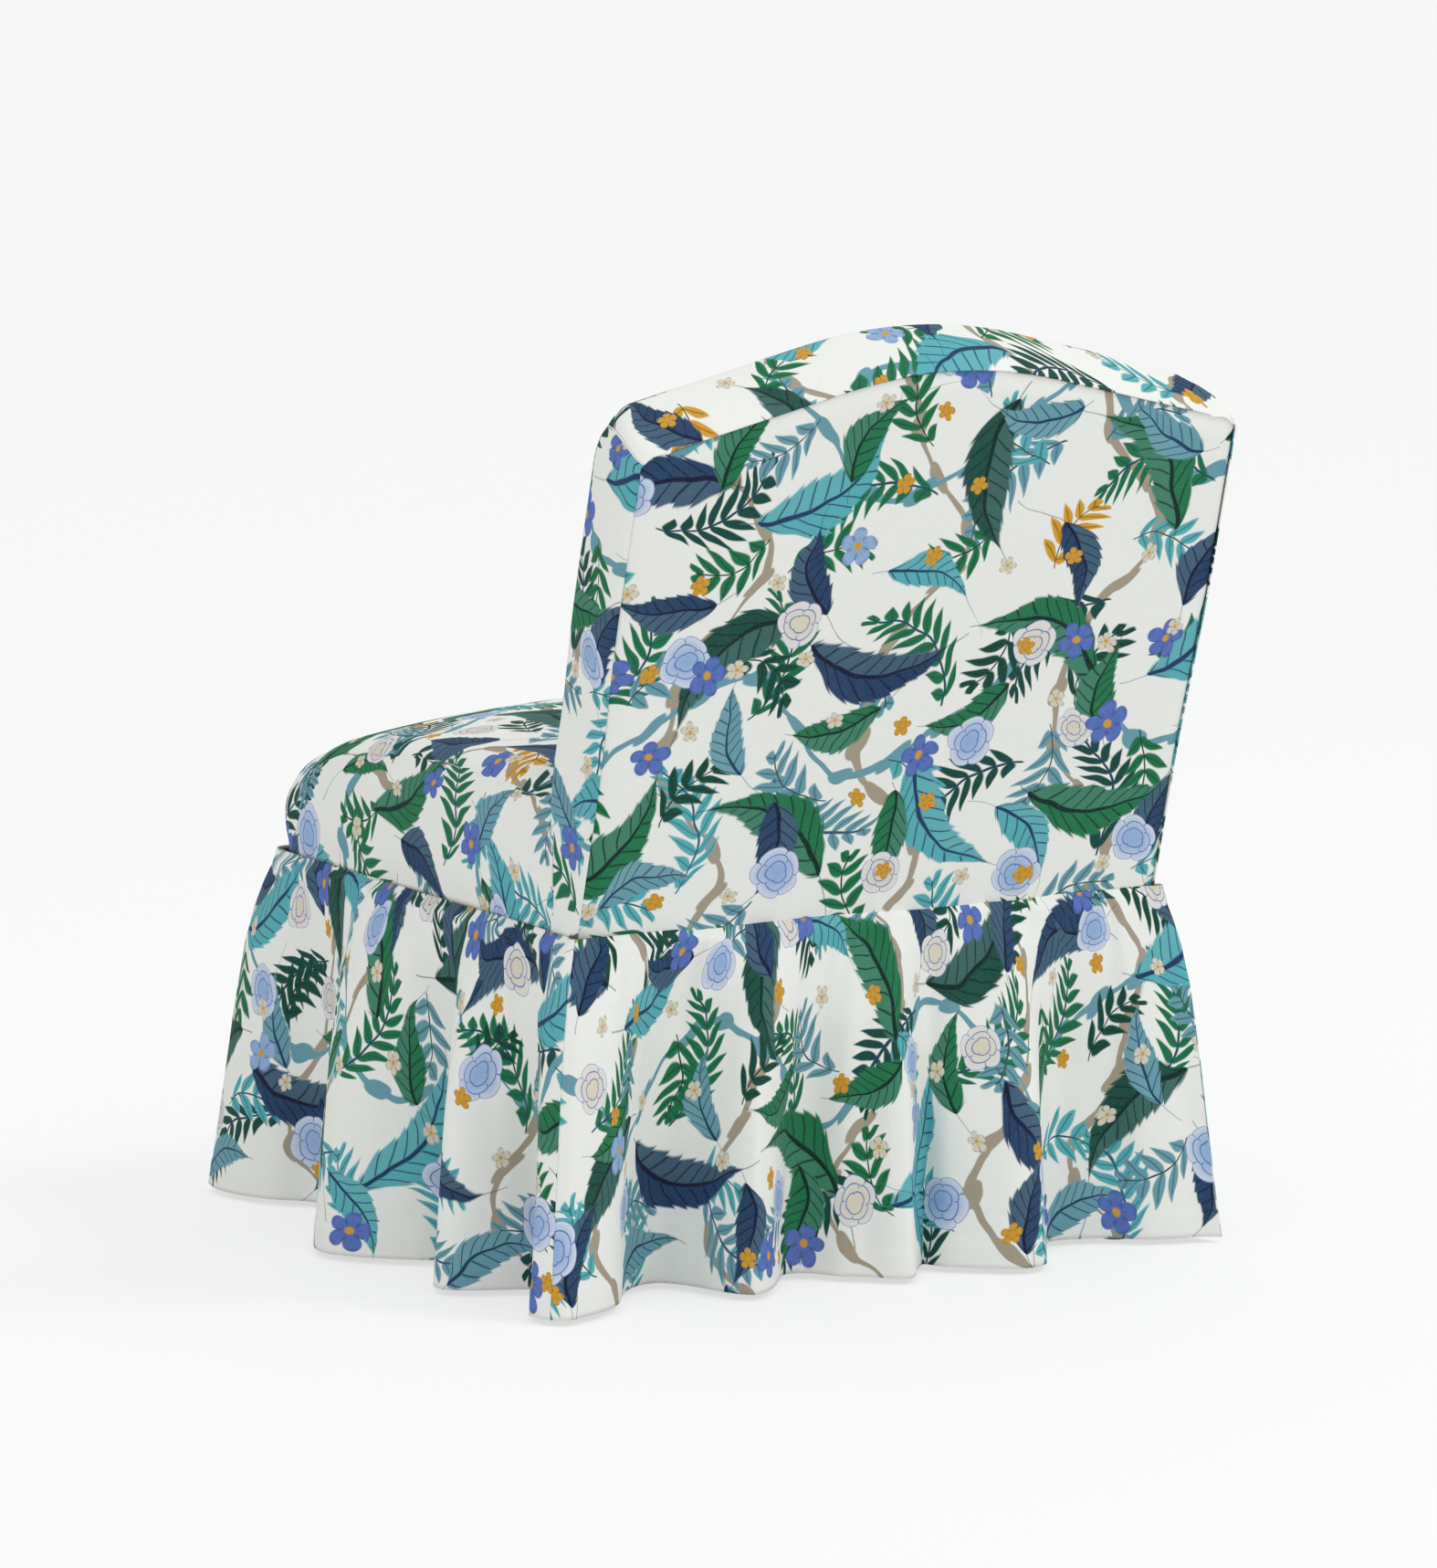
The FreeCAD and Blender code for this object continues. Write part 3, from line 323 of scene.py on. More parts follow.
def back_point(grid, inset=0.0, up_low=-0.031, behind=0.0):
    """Points of the back as width, way up the rake and depth, made smaller by an inset."""
    half = HALF_WIDTH - inset
    x = gathered_to_edges(grid[:, 0]) * half
    seam = crest_seam(x) - inset
    up = between(up_low, seam, grid[:, 2], 0.75)
    depth = back_depth_at(up) - inset
    inward = between(behind, depth, grid[:, 1], 0.8)
    forward = np.clip(inward / depth, 0, 1)
    free = smooth_step((up - 0.10) / 0.12)
    fore = smooth_step((forward - 0.25) / 0.75)
    side = SEAM_EDGE + 0.021 * fore * free
    radius = beside(side, side + 0.012 * fore, SEAM_EDGE + 0.025 * fore * free) - inset
    low, high = np.array([-half, up_low - 1, -1.0]), beside(half, seam, depth)
    x, up, inward = rounded(beside(x, up, inward), low, high, radius).T
    forward = np.clip(inward / depth, 0, 1)
    near_top = smooth_step((up - seam + 0.05) / 0.05)
    up = up + near_top * 0.011 * np.sin(np.minimum(forward * 1.5, 1) * math.pi / 2)
    belly = (1 - (x / half) ** 2) * np.sin(math.pi * np.clip((up - 0.10) / 0.43, 0, 1))
    inward = inward + BELLY * belly * smooth_step((forward - 0.75) / 0.25)
    padded_edge = (1 - 0.4 * np.exp(-inward.clip(0) / 0.006)) * np.cos(math.pi / 2 * forward**1.2)
    x = x + side_swell(x, up, half) * padded_edge
    aside, above = np.abs(x) - half + 0.034, up - seam + 0.030
    at_corner = smooth_step(np.minimum(aside, above) / 0.016) * np.exp(-inward / 0.045)
    pleat = DART * at_corner * (np.cos(14 * np.arctan2(above, aside)) - 1) / 2
    return x + np.sign(x) * pleat * 0.7, up + pleat * 0.7, inward


print("back's depth at mid height", round(float(back_depth_at(0.25)), 4))

# %% Inside back cover
back = clay_block("inside_back_upholstery", 62)
drop_faces(back, lambda c: c.y < -0.999 or c.z < -0.999)
back_grid = points_of(back)
back_x, back_up, back_inward = back_point(back_grid)
move_points(back, leaned(back_x, back_up, back_inward))
behind_face = BACK_DEPTH - back_inward
on_crest = back_grid[:, 2] > 0.98
round_side = behind_face * ((np.abs(back_grid[:, 0]) > 0.98) & ~on_crest)
lay_print(back, back_x + np.sign(back_x) * round_side, back_up + behind_face * on_crest)
print("back top at", round(points_of(back)[:, 2].max(), 4))

# %% [markdown]
# The outside back is a separate panel, sewn on by hand along both sides and the crest. Its edge
# is turned under, so it sinks a little at the seam and stands slightly proud just inside it.

# %% Outside back panel
def crest_grid(name, cuts, half, low, inset):
    """A flat grid with the outline of the back, and its points' places across and up."""
    sheet = primitive(bpy.ops.mesh.primitive_plane_add, name)
    on_all_faces(bpy.ops.mesh.subdivide, number_cuts=cuts)
    grid = points_of(sheet)
    x = gathered_to_edges(grid[:, 0], 0.9) * half
    top = crest_seam(x) - inset
    up = between(low, top, grid[:, 1], 0.9)
    return sheet, x, up, top


SEAM_GAP = 0.0004
panel, panel_x, panel_up, panel_top = crest_grid(
    "outside_back_panel_cloth", 90, HALF_WIDTH - SEAM_GAP, -0.018, SEAM_GAP)
edge = np.minimum(HALF_WIDTH - np.abs(panel_x), panel_top - panel_up)
turned = 0.0010 * np.exp(-edge / 0.0022)
fullness = 0.0025 * smooth_step(edge / 0.02) + 0.0020 * smooth_step(edge / 0.16)
panel_swell = 0.6 * side_swell(panel_x, panel_up, HALF_WIDTH)
low, high = np.array([-HALF_WIDTH, -1, -1]), beside(HALF_WIDTH, panel_top, 1)
round_x, round_up, _ = rounded(beside(panel_x, panel_up, 0.0), low, high, SEAM_EDGE).T
move_points(panel, leaned(round_x + panel_swell, round_up, 0.0012 + turned - fullness))
lay_print(panel, 0.11 - panel_x, panel_up + 0.21)
print("outside back panel has", len(panel.data.polygons), "faces")

# %% [markdown]
# The skirt is the hard part: four lengths of cloth, gathered at the waist seam, that fall in
# deep soft folds to the floor. Each length is drawn by two lines, a nearly straight heading and
# a wavy hem, and every thread runs from one to the other, flaring quickly at first.

# %% Skirt outlines
HEM = 0.0050
HEADING = 0.0105


def spread_evenly(line, count):
    """Points at even steps along a line, and the line's length."""
    run = np.concatenate([[0], np.cumsum(np.linalg.norm(np.diff(line, axis=0), axis=1))])
    at = np.linspace(0, run[-1], count)
    return beside(np.interp(at, run, line[:, 0]), np.interp(at, run, line[:, 1])), run[-1]


def curve_through(knots, count):
    """A smooth curve through given points, as evenly spread points."""
    knots = np.array(knots, float)
    ahead = np.vstack([2 * knots[0] - knots[1], knots, 2 * knots[-1] - knots[-2]])
    fine = []
    for k in range(1, len(ahead) - 2):
        a, b, c, d = ahead[k - 1], ahead[k], ahead[k + 1], ahead[k + 2]
        t = np.linspace(0, 1, 24, endpoint=False)[:, None]
        fine.append(0.5 * (2 * b + (c - a) * t + (2 * a - 5 * b + 4 * c - d) * t**2
                           + (3 * b - a - 3 * c + d) * t**3))
    return spread_evenly(np.vstack(fine + [knots[-1:]]), count)


# Hems, in millimetres: along the side from its middle, and out from the body.
HEMS = {
    "skirt_left": [
        (-379, 71), (-363, 77), (-348, 77), (-322, 58), (-298, 24), (-274, 8), (-253, 16),
        (-237, 48), (-220, 82), (-200, 92), (-177, 80), (-156, 48), (-136, 18), (-112, 8),
        (-94, 20), (-78, 44), (-58, 68), (-36, 88), (-4, 102), (34, 92), (78, 70), (106, 46),
        (134, 16), (165, 3), (198, -2), (225, 6), (250, 30), (290, 48), (322, 53), (352, 46)],
    "skirt_rear": [
        (-353, 47), (-336, 38), (-310, 33), (-282, 22), (-260, 0), (-231, -12), (-201, -13),
        (-172, 20), (-150, 68), (-136, 82), (-122, 85), (-108, 82), (-85, 64), (-60, 42),
        (-46, 20), (-28, 36), (-6, 71), (12, 68), (31, 48), (50, 34), (68, 8), (92, 3),
        (112, 28), (129, 50), (146, 65), (161, 71), (175, 55), (185, 27), (194, 0), (211, -22),
        (236, -18), (262, 6), (286, 42), (309, 64), (344, 81), (363, 88), (376, 78)],
    "skirt_right": [
        (-361, 60), (-338, 66), (-304, 44), (-268, 10), (-238, 4), (-212, 34), (-188, 78),
        (-160, 90), (-132, 66), (-104, 22), (-78, 6), (-50, 30), (-28, 70), (-8, 82),
        (20, 70), (46, 30), (80, 2), (108, 18), (132, 66), (158, 96), (184, 90), (208, 50),
        (238, 8), (262, 4), (290, 20), (320, 42), (348, 48)],
    "skirt_front": [
        (-351, 51), (-326, 54), (-298, 36), (-268, 8), (-240, 6), (-212, 40), (-186, 80),
        (-160, 82), (-134, 50), (-104, 10), (-72, 2), (-44, 30), (-20, 80), (8, 98),
        (38, 90), (62, 46), (92, 8), (124, 6), (150, 44), (174, 84), (200, 84), (226, 40),
        (254, 8), (284, 14), (312, 44), (342, 66), (365, 60)],
}
# The share of the way out to the hem that the cloth has gone, at shares of its fall.
FALL = np.array([0, 0.05, 0.10, 0.17, 0.28, 0.39, 0.50, 0.62, 0.75, 0.88, 1])
FLARE = np.array([0, 0.09, 0.22, 0.37, 0.54, 0.65, 0.745, 0.82, 0.89, 0.95, 1])
print("hems set out for", ", ".join(HEMS))

# %% [markdown]
# The gathers are too fine to set by hand, so uneven small waves are drawn at three sizes. The
# heading turns half way round the corner at each end, where two lengths of cloth are joined.

# %% Skirt panels
FINE, COARSE, SHALLOW = 0.0145, 0.055, 0.10
FINE_LIFT, COARSE_LIFT, SHALLOW_LIFT = 0.0046, 0.0034, 0.0022
HEM_LIFT = 0.0008


def ripple(length, spacing, seed):
    """Uneven waves along a length of cloth, with the average taken off."""
    rng = np.random.default_rng(seed)
    place = np.linspace(0, 1, 900)
    wave = np.zeros_like(place)
    for _ in range(int(length / spacing)):
        centre, width = rng.uniform(0, 1), rng.uniform(0.35, 0.8) * spacing / length
        wave += rng.uniform(0.4, 1) * np.exp(-((place - centre) / width) ** 2)
    return place, wave - wave.mean()


def heading_line(half, radii, count):
    """The top edge: straight along the side, and half way round the corner at each end."""
    run = []
    for radius, side in zip(radii, (-1, 1)):
        turn = np.linspace(math.pi / 4, math.pi / 2, 12)
        x = half + HEADING - radius + radius * np.cos(turn)
        bend = beside(side * x, HEADING - radius + radius * np.sin(turn))
        run.append(bend if side < 0 else bend[::-1])
    return spread_evenly(np.vstack(run), count)[0]


def skirt_panel(node, length, radii, seed, columns=420, rows=84):
    """One length of cloth as a grid, in its own frame: along the side, out, and up."""
    hem, hem_run = curve_through(np.array(HEMS[node]) / 1000, columns)
    share = np.linspace(0, 1, columns)
    heading = heading_line(length / 2, radii, columns)
    fine = np.interp(share, *ripple(length, FINE, seed))
    coarse = np.interp(share, *ripple(length, COARSE, seed + 7))
    shallow = np.interp(share, *ripple(hem_run, SHALLOW, seed + 13))
    corner = smooth_step(np.minimum(share, 1 - share) / 0.04)
    late = 0.10 * np.exp(-(np.minimum(share, 1 - share) * hem_run / 0.09) ** 2)
    down = np.linspace(0, 1, rows) ** 1.15
    out = []
    for t in down:
        flare = (np.interp(t, FALL, FLARE) - late * math.sin(math.pi * t))[:, None]
        line = heading * (1 - flare) + hem * flare
        along = np.gradient(line, axis=0)
        normal = beside(-along[:, 1], along[:, 0])
        normal /= np.linalg.norm(normal, axis=1, keepdims=True)
        roll = smooth_step(t / 0.035)
        gathers = (FINE_LIFT * fine * np.exp(-t / 0.17) * roll
                   + COARSE_LIFT * coarse * np.exp(-((t - 0.2) / 0.2) ** 2)
                   + SHALLOW_LIFT * shallow * smooth_step((t - 0.2) / 0.5)) * corner
        lift = -0.0075 * (1 - roll) * corner + HEM_LIFT * smooth_step((t - 0.925) / 0.006)
        line = line + normal * (gathers + lift)[:, None]
        out.append(beside(line[:, 0], line[:, 1], WAIST + 0.0008 + (HEM - WAIST) * t))
    return np.array(out), hem_run, down


print("gathers every", FINE, COARSE, SHALLOW, "m")

# %% Skirt cloths
FRONT_TURN, REAR_TURN = HEADING + 0.034, HEADING + 0.004
BETWEEN_PANELS = 0.13


def skirt_cloth(node, length, radii, distance, turn, print_start, seed):
    """The panel as a mesh in its place round the chair, with its print."""
    grid, hem_run, down = skirt_panel(node, length, radii, seed)
    rows, columns = grid.shape[:2]
    cloth = primitive(bpy.ops.mesh.primitive_grid_add, node + "_cloth",
                      x_subdivisions=columns - 1, y_subdivisions=rows - 1)
    start = points_of(cloth)
    column = np.rint((start[:, 0] + 1) / 2 * (columns - 1)).astype(int)
    row = np.rint((1 - start[:, 1]) / 2 * (rows - 1)).astype(int)
    place = grid[row, column]
    across, out = place[:, 0], place[:, 1] + distance
    cos, sin = math.cos(turn), math.sin(turn)
    x = across * cos - out * sin
    y = across * sin + out * cos + MIDDLE
    move_points(cloth, beside(x, y, place[:, 2]))
    lay_print(cloth, print_start - column / (columns - 1) * hem_run, -down[row] * (WAIST - HEM))
    print(node, "flat cloth", round(hem_run, 3), "by", round(WAIST - HEM, 3))
    return cloth, hem_run


skirts = {}
print_start = 0.0
for node, length, start, end, distance, turn, seed in (
    ("skirt_rear", 2 * HALF_WIDTH, REAR_TURN, REAR_TURN, DEPTH / 2, 0, 3),
    ("skirt_right", DEPTH, FRONT_TURN, REAR_TURN, HALF_WIDTH, math.pi / 2, 5),
    ("skirt_front", 2 * HALF_WIDTH, FRONT_TURN, FRONT_TURN, DEPTH / 2, math.pi, 11),
    ("skirt_left", DEPTH, REAR_TURN, FRONT_TURN, HALF_WIDTH, -math.pi / 2, 17),
):
    cloth, hem_run = skirt_cloth(node, length, (start, end), distance, turn, print_start, seed)
    skirts[node] = (cloth, hem_run)
    print_start -= hem_run + BETWEEN_PANELS

# %% [markdown]
# Node helpers. Every material is built from nodes. Sums written out as Math nodes are slow to
# read, so a small class lets numbers in a node tree be added and compared as in plain Python.

# %% Numbers in a node tree
def linear(red, green, blue):
    """A colour as seen on screen, 0 to 255, turned into the light values that nodes use."""
    return tuple(((c / 255 + 0.055) / 1.055) ** 2.4 for c in (red, green, blue)) + (1,)


class Num:
    """A number in a node tree, held by the socket that gives it."""

    def __init__(self, socket):
        self.tree, self.socket = socket.id_data, socket

    def sum(self, kind, *others):
        node = add_node(self.tree, "Math", enumerate((self,) + others), operation=kind)
        return Num(node.outputs[0])

    def __add__(self, other):
        return self.sum("ADD", other)

    def __sub__(self, other):
        return self.sum("SUBTRACT", other)

    def __mul__(self, other):
        return self.sum("MULTIPLY", other)

    def __truediv__(self, other):
        return self.sum("DIVIDE", other)

    def __abs__(self):
        return self.sum("ABSOLUTE")

    def rising(self, start, end):
        """0 below the start, 1 above the end, smooth between; it falls if start is above end."""
        node = add_node(self.tree, "MapRange", {0: self, 1: start, 2: end},
                        interpolation_type="SMOOTHSTEP")
        return Num(node.outputs[0])

    def below(self, limit, soft):
        """1 below the limit and 0 above it, with a soft edge."""
        return (self - limit).rising(soft, -soft)


def feed(slot, value):
    """Give an input a plain value, or a link from a number or a socket."""
    if isinstance(value, Num):
        value = value.socket
    if isinstance(value, bpy.types.NodeSocket):
        slot.id_data.links.new(value, slot)
    else:
        slot.default_value = value


def add_node(tree, kind, inputs=(), **settings):
    """A node with its settings and its inputs, which are values or sockets."""
    node = tree.nodes.new("ShaderNode" + kind)
    for key, value in settings.items():
        setattr(node, key, value)
    for slot, value in dict(inputs).items():
        feed(node.inputs[slot], value)
    return node


print("numbers in node trees are ready")

# %% Paints and node groups
def laid(share, under, over):
    """One colour laid over another."""
    return add_node(share.tree, "Mix", {0: share, 6: under, 7: over}, data_type="RGBA").outputs[2]


def picked(chance, colours):
    """One of several inks, picked by a number from 0 to 1."""
    node = add_node(chance.tree, "ValToRGB", {0: chance})
    ramp = node.color_ramp
    ramp.interpolation = "CONSTANT"
    while len(ramp.elements) < len(colours):
        ramp.elements.new(0.5)
    for number, colour in enumerate(colours):
        ramp.elements[number].position = number / len(colours)
        ramp.elements[number].color = colour
    return node.outputs[0]


def new_paint(name):
    paint = bpy.data.materials.new(name)
    paint.use_nodes = True
    return paint, paint.node_tree, paint.node_tree.nodes["Principled BSDF"]


def grouped(name, numbers, draw):
    """A node group: numbers in, and the numbers or colours of the drawing function out."""
    group = bpy.data.node_groups.new(name, "ShaderNodeTree")
    numbers = numbers.split()
    for number in numbers:
        group.interface.new_socket(number, in_out="INPUT", socket_type="NodeSocketFloat")
    start = group.nodes.new("NodeGroupInput")
    end = group.nodes.new("NodeGroupOutput")
    drawn = draw(*[Num(start.outputs[number]) for number in numbers])
    for number, result in enumerate(drawn):
        kind = "NodeSocketFloat" if isinstance(result, Num) else "NodeSocketColor"
        group.interface.new_socket("out_%d" % number, in_out="OUTPUT", socket_type=kind)
        feed(end.inputs[number], result)
    return group


def use_group(group, *values):
    node = add_node(values[0].tree, "Group", node_tree=group)
    for slot, value in zip(node.inputs, values):
        feed(slot, value)
    return [Num(out) if out.type == "VALUE" else out for out in node.outputs]


print("paints and node groups are ready")

# %% [markdown]
# Light and floor. A plain pale floor that runs into an equally pale world, and two soft lamps. What
# the camera sees of the floor and the world, also in metal or through glass, is one pale tone.

# %% Floor, world and lamps
bpy.context.scene.view_settings.view_transform = "Standard"


def pale_where_seen(tree, plain, pale):
    """One shader for the light that falls on the chair, and another for all that is seen."""
    ray = add_node(tree, "LightPath").outputs
    seen_by = Num(ray["Is Camera Ray"])
    for kind in ("Is Glossy Ray", "Is Transmission Ray"):
        seen_by = seen_by.sum("MAXIMUM", Num(ray[kind]))
    return add_node(tree, "MixShader", {0: seen_by, 1: plain, 2: pale}).outputs[0]


world = bpy.data.worlds.new("studio")
bpy.context.scene.world = world
world.use_nodes = True
tree = world.node_tree
tree.nodes.clear()
seen = add_node(tree, "Background", {0: (0.939, 0.939, 0.939, 1)}).outputs[0]
lit = add_node(tree, "Background", {0: (0.98, 0.99, 1.0, 1), 1: 0.78}).outputs[0]
add_node(tree, "OutputWorld", {0: pale_where_seen(tree, lit, seen)})


def lamp(name, place, size, power):
    data = bpy.data.lights.new(name, "AREA")
    data.shape = "DISK"
    data.size = size
    data.energy = power
    item = bpy.data.objects.new(name, data)
    item.location = place
    item.rotation_euler = (Vector((0, 0, 0.4)) - Vector(place)).to_track_quat("-Z", "Y").to_euler()
    bpy.context.scene.collection.objects.link(item)


lamp("key", (-2.4, 2.5, 4.8), size=1.8, power=76)
lamp("fill", (3.8, 3.4, 0.8), size=2.6, power=20)
nothing_selected()
bpy.ops.mesh.primitive_circle_add(vertices=96, radius=30, fill_type="NGON", location=(0, 0, 0))
floor = bpy.context.object
floor.name = "floor"
floor_paint, tree, matt = new_paint("pale_floor")
feed(matt.inputs["Base Color"], (0.30, 0.30, 0.30, 1))
feed(matt.inputs["Roughness"], 0.9)
glow = add_node(tree, "Emission", {1: 0.640})
bright = add_node(tree, "AddShader", {0: matt.outputs[0], 1: glow.outputs[0]}).outputs[0]
plain = add_node(tree, "BsdfDiffuse", {0: (0.86, 0.86, 0.86, 1)}).outputs[0]
feed(tree.nodes["Material Output"].inputs[0], pale_where_seen(tree, plain, bright))
floor.data.materials.append(floor_paint)
print("floor, world and", len(bpy.data.lights), "lamps set")

# %% [markdown]
# The print. The cloth carries a free botanical design in blues and greens: cut leaves, fern
# sprays, round blooms, small blossoms and thin twigs with buds, turned every way. Each motif is
# a small node group that works on its own patch of the cloth, and a repeat places and turns it.

# %% Repeat of the print
def draw_repeat(u, v, size, shift, jitter, seed):
    """Which motif a point of the cloth belongs to, and its place there, in metres."""
    tree = u.tree
    rows = (v + shift) / size
    row = rows.sum("FLOOR")
    columns = (u + shift * 0.7) / size + (row * 0.5).sum("FRACT")
    column = columns.sum("FLOOR")
    place = add_node(tree, "CombineXYZ", {0: column.sum("FLOORED_MODULO", 5.0),
                                          1: row.sum("FLOORED_MODULO", 4.0), 2: seed})
    dice = add_node(tree, "TexWhiteNoise", {0: place.outputs[0]}, noise_dimensions="3D")
    parts = add_node(tree, "SeparateColor", {0: dice.outputs["Color"]})
    one, two, three = [Num(out) for out in parts.outputs]
    x = columns - column - 0.5 - (one - 0.5) * jitter
    y = rows - row - 0.5 - (two - 0.5) * jitter
    turn = three * (2 * math.pi)
    cos, sin = turn.sum("COSINE"), turn.sum("SINE")
    value = Num(dice.outputs["Value"])
    return (x * cos + y * sin) * size, (y * cos - x * sin) * size, value, one


repeat_group = grouped("print_repeat", "u v size shift jitter seed", draw_repeat)
print("repeat drawn")

# %% Leaf and spray
def along_stalk(x, y, length, bend):
    """Place along a bent stalk and beside it, as shares of its length."""
    u = x / length + 0.5
    return u, y / length - bend * (u - 0.5) * (u - 0.5) + bend * 0.12


def draw_leaf(x, y, length, width, teeth, bend):
    """A cut leaf from its stalk to its tip: its shape, its veins, and its lighter half."""
    u, v = along_stalk(x, y, length, bend)
    side = abs(v)
    swell = (u.sum("MAXIMUM", 0.0).sum("MINIMUM", 1.0).sum("POWER", 0.72) * math.pi).sum("SINE")
    notch = ((u - side * 0.9) * teeth).sum("FRACT")
    half = swell * width * (notch * 0.16 + 0.88)
    shape = side.below(half, 0.012)
    midrib = side.below((u * -0.016) + 0.021, 0.006)
    stroke = abs(notch - 0.12).below(0.07, 0.045) * side.rising(0.0, 0.03)
    return shape, midrib.sum("MAXIMUM", stroke * 0.85), v.rising(-0.02, 0.02)


leaf_group = grouped("print_leaf", "x y length width teeth bend", draw_leaf)


def draw_spray(x, y, length, width, pairs, bend):
    """A fern spray: pairs of slim leaflets on a thin bent stalk."""
    u, v = along_stalk(x, y, length, bend)
    side = abs(v)
    root = (u - side * 0.75) * pairs
    leaflet_root = (root.sum("FLOOR") + 0.5) / pairs
    within = leaflet_root.rising(0.0, 0.001) * leaflet_root.rising(1.0, 0.999)
    reach = ((leaflet_root * 0.80 + 0.16) * math.pi).sum("SINE") * width
    share = (side / reach).sum("MINIMUM", 1.0)
    place = root.sum("FRACT") - 0.5
    fat = (share.sum("POWER", 0.65) * math.pi).sum("SINE") * 0.40
    leaflet = abs(place).below(fat, 0.07) * share.rising(1.0, 0.97)
    stalk = side.below(0.010, 0.005) * u.rising(-0.02, 0.0) * u.rising(0.97, 0.93)
    vein = abs(place).below(0.05, 0.04) * share.rising(0.85, 0.7)
    return (leaflet * within).sum("MAXIMUM", stalk), stalk.sum("MAXIMUM", vein * within * 0.7)


spray_group = grouped("print_spray", "x y length width pairs bend", draw_spray)
print("leaf and spray drawn")

# %% Blossom and rose
def draw_blossom(x, y, radius):
    """An open blossom of five rounded petals, with lines on the petals and a round eye."""
    far = (x * x + y * y).sum("SQRT") / radius
    angle = y.sum("ARCTAN2", x)
    petal = abs((angle * 2.5).sum("COSINE"))
    shape = far.below(petal.sum("POWER", 0.5) * 0.52 + 0.50, 0.04)
    gap = petal.below(0.16, 0.10) * far.rising(0.25, 0.45)
    lines = ((angle * 15.0).sum("COSINE")).rising(0.55, 0.9) * far.rising(0.75, 0.35)
    edge = far.rising(0.80, 1.0) * 0.5
    return shape, gap.sum("MAXIMUM", lines * 0.55).sum("MAXIMUM", edge), far.below(0.20, 0.05)


blossom_group = grouped("print_blossom", "x y radius", draw_blossom)


def draw_rose(x, y, radius):
    """A full round bloom: three rings of scalloped petals inside each other."""
    far = (x * x + y * y).sum("SQRT") / radius
    angle = y.sum("ARCTAN2", x)
    shape = None
    for ring, (size, petals) in enumerate(((0.98, 2.5), (0.68, 2.0), (0.40, 1.5))):
        scallop = abs((angle * petals + ring * 1.1).sum("COSINE")).sum("POWER", 0.6)
        edge = scallop * 0.15 * size + 0.86 * size
        rim = abs(far - edge).below(0.022, 0.012)
        inside = far.below(edge, 0.02)
        outside = inside.rising(1.0, 0.0)
        gap = scallop.below(0.20, 0.12) * inside * far.rising(size * 0.62, size * 0.8)
        if shape is None:
            shape, line, shade = inside, rim.sum("MAXIMUM", gap), far / edge
        else:
            line = (line * outside).sum("MAXIMUM", rim).sum("MAXIMUM", gap)
            shade = shade.sum("MINIMUM", far / edge + outside)
    return shape, line, shade


rose_group = grouped("print_rose", "x y radius", draw_rose)
print("motifs drawn:", ", ".join(group.name for group in bpy.data.node_groups))

# %% [markdown]
# The inks are printed one after another, as on a real screen-printed linen: twigs first, then the
# sprays and leaves, and the blooms and blossoms last. The ground is a warm white, and two noises
# stretched across each other give it the threads of a plain weave.

# %% Inks
NAVY, EMERALD, DEEP_GREEN = linear(28, 60, 98), linear(24, 116, 72), linear(10, 74, 60)
AQUA, DUSTY_BLUE, PERIWINKLE = linear(88, 176, 184), linear(106, 158, 172), linear(92, 118, 190)
PALE_BLUE, MUSTARD, TAUPE = linear(148, 180, 218), linear(214, 158, 44), linear(168, 156, 136)
DARK_NAVY, DARK_GREEN, CREAM = linear(12, 26, 54), linear(6, 44, 38), linear(222, 214, 192)
GROUND = linear(241, 242, 236)
print("ground", [round(light, 3) for light in GROUND[:3]])

# %% Twigs
def lay_twigs(colour, u, v, brush):
    for spacing, sway, along, across, ink in (
            (0.205, 0.040, v, u, TAUPE), (0.270, 0.052, u, v, DUSTY_BLUE)):
        wave = (along * (2 * math.pi / 0.33)).sum("SINE") * sway
        curve = across + wave + (along * 41.0).sum("SINE") * 0.009
        gap = ((curve / spacing).sum("FRACT") - 0.5) * spacing
        twig = abs(gap).below(brush * 0.0066, 0.0006)
        colour = laid(twig, colour, ink)
        bud = (along / 0.052 + curve / spacing * 0.3).sum("FRACT") - 0.5
        leaning = gap - bud * 0.018
        small = (leaning * leaning * 5.5 + bud * bud * 0.0044).below(0.00036, 0.00006)
        colour = laid(small, colour, ink)
    return colour


print("twigs ready")

# %% Sprays and leaves
def lay_sprays(colour, u, v, brush):
    for size, shift, seed, length, width, pairs, bend, inks, dark in (
            (0.150, 0.05, 3.0, 0.128, 0.24, 9.0, 0.9,
             (DUSTY_BLUE, DEEP_GREEN, EMERALD, AQUA, EMERALD), NAVY),
            (0.118, 0.31, 8.0, 0.082, 0.34, 5.0, -0.7,
             (DUSTY_BLUE, EMERALD, AQUA, DEEP_GREEN, EMERALD, MUSTARD, DUSTY_BLUE), DARK_GREEN)):
        x, y, dice, _ = use_group(repeat_group, u, v, size, shift, 0.97 - length / size, seed)
        shape, vein = use_group(spray_group, x, y, length, width, pairs, bend)
        colour = laid(shape, colour, picked(dice, inks))
        colour = laid(vein * shape * 0.8, colour, dark)
    return colour


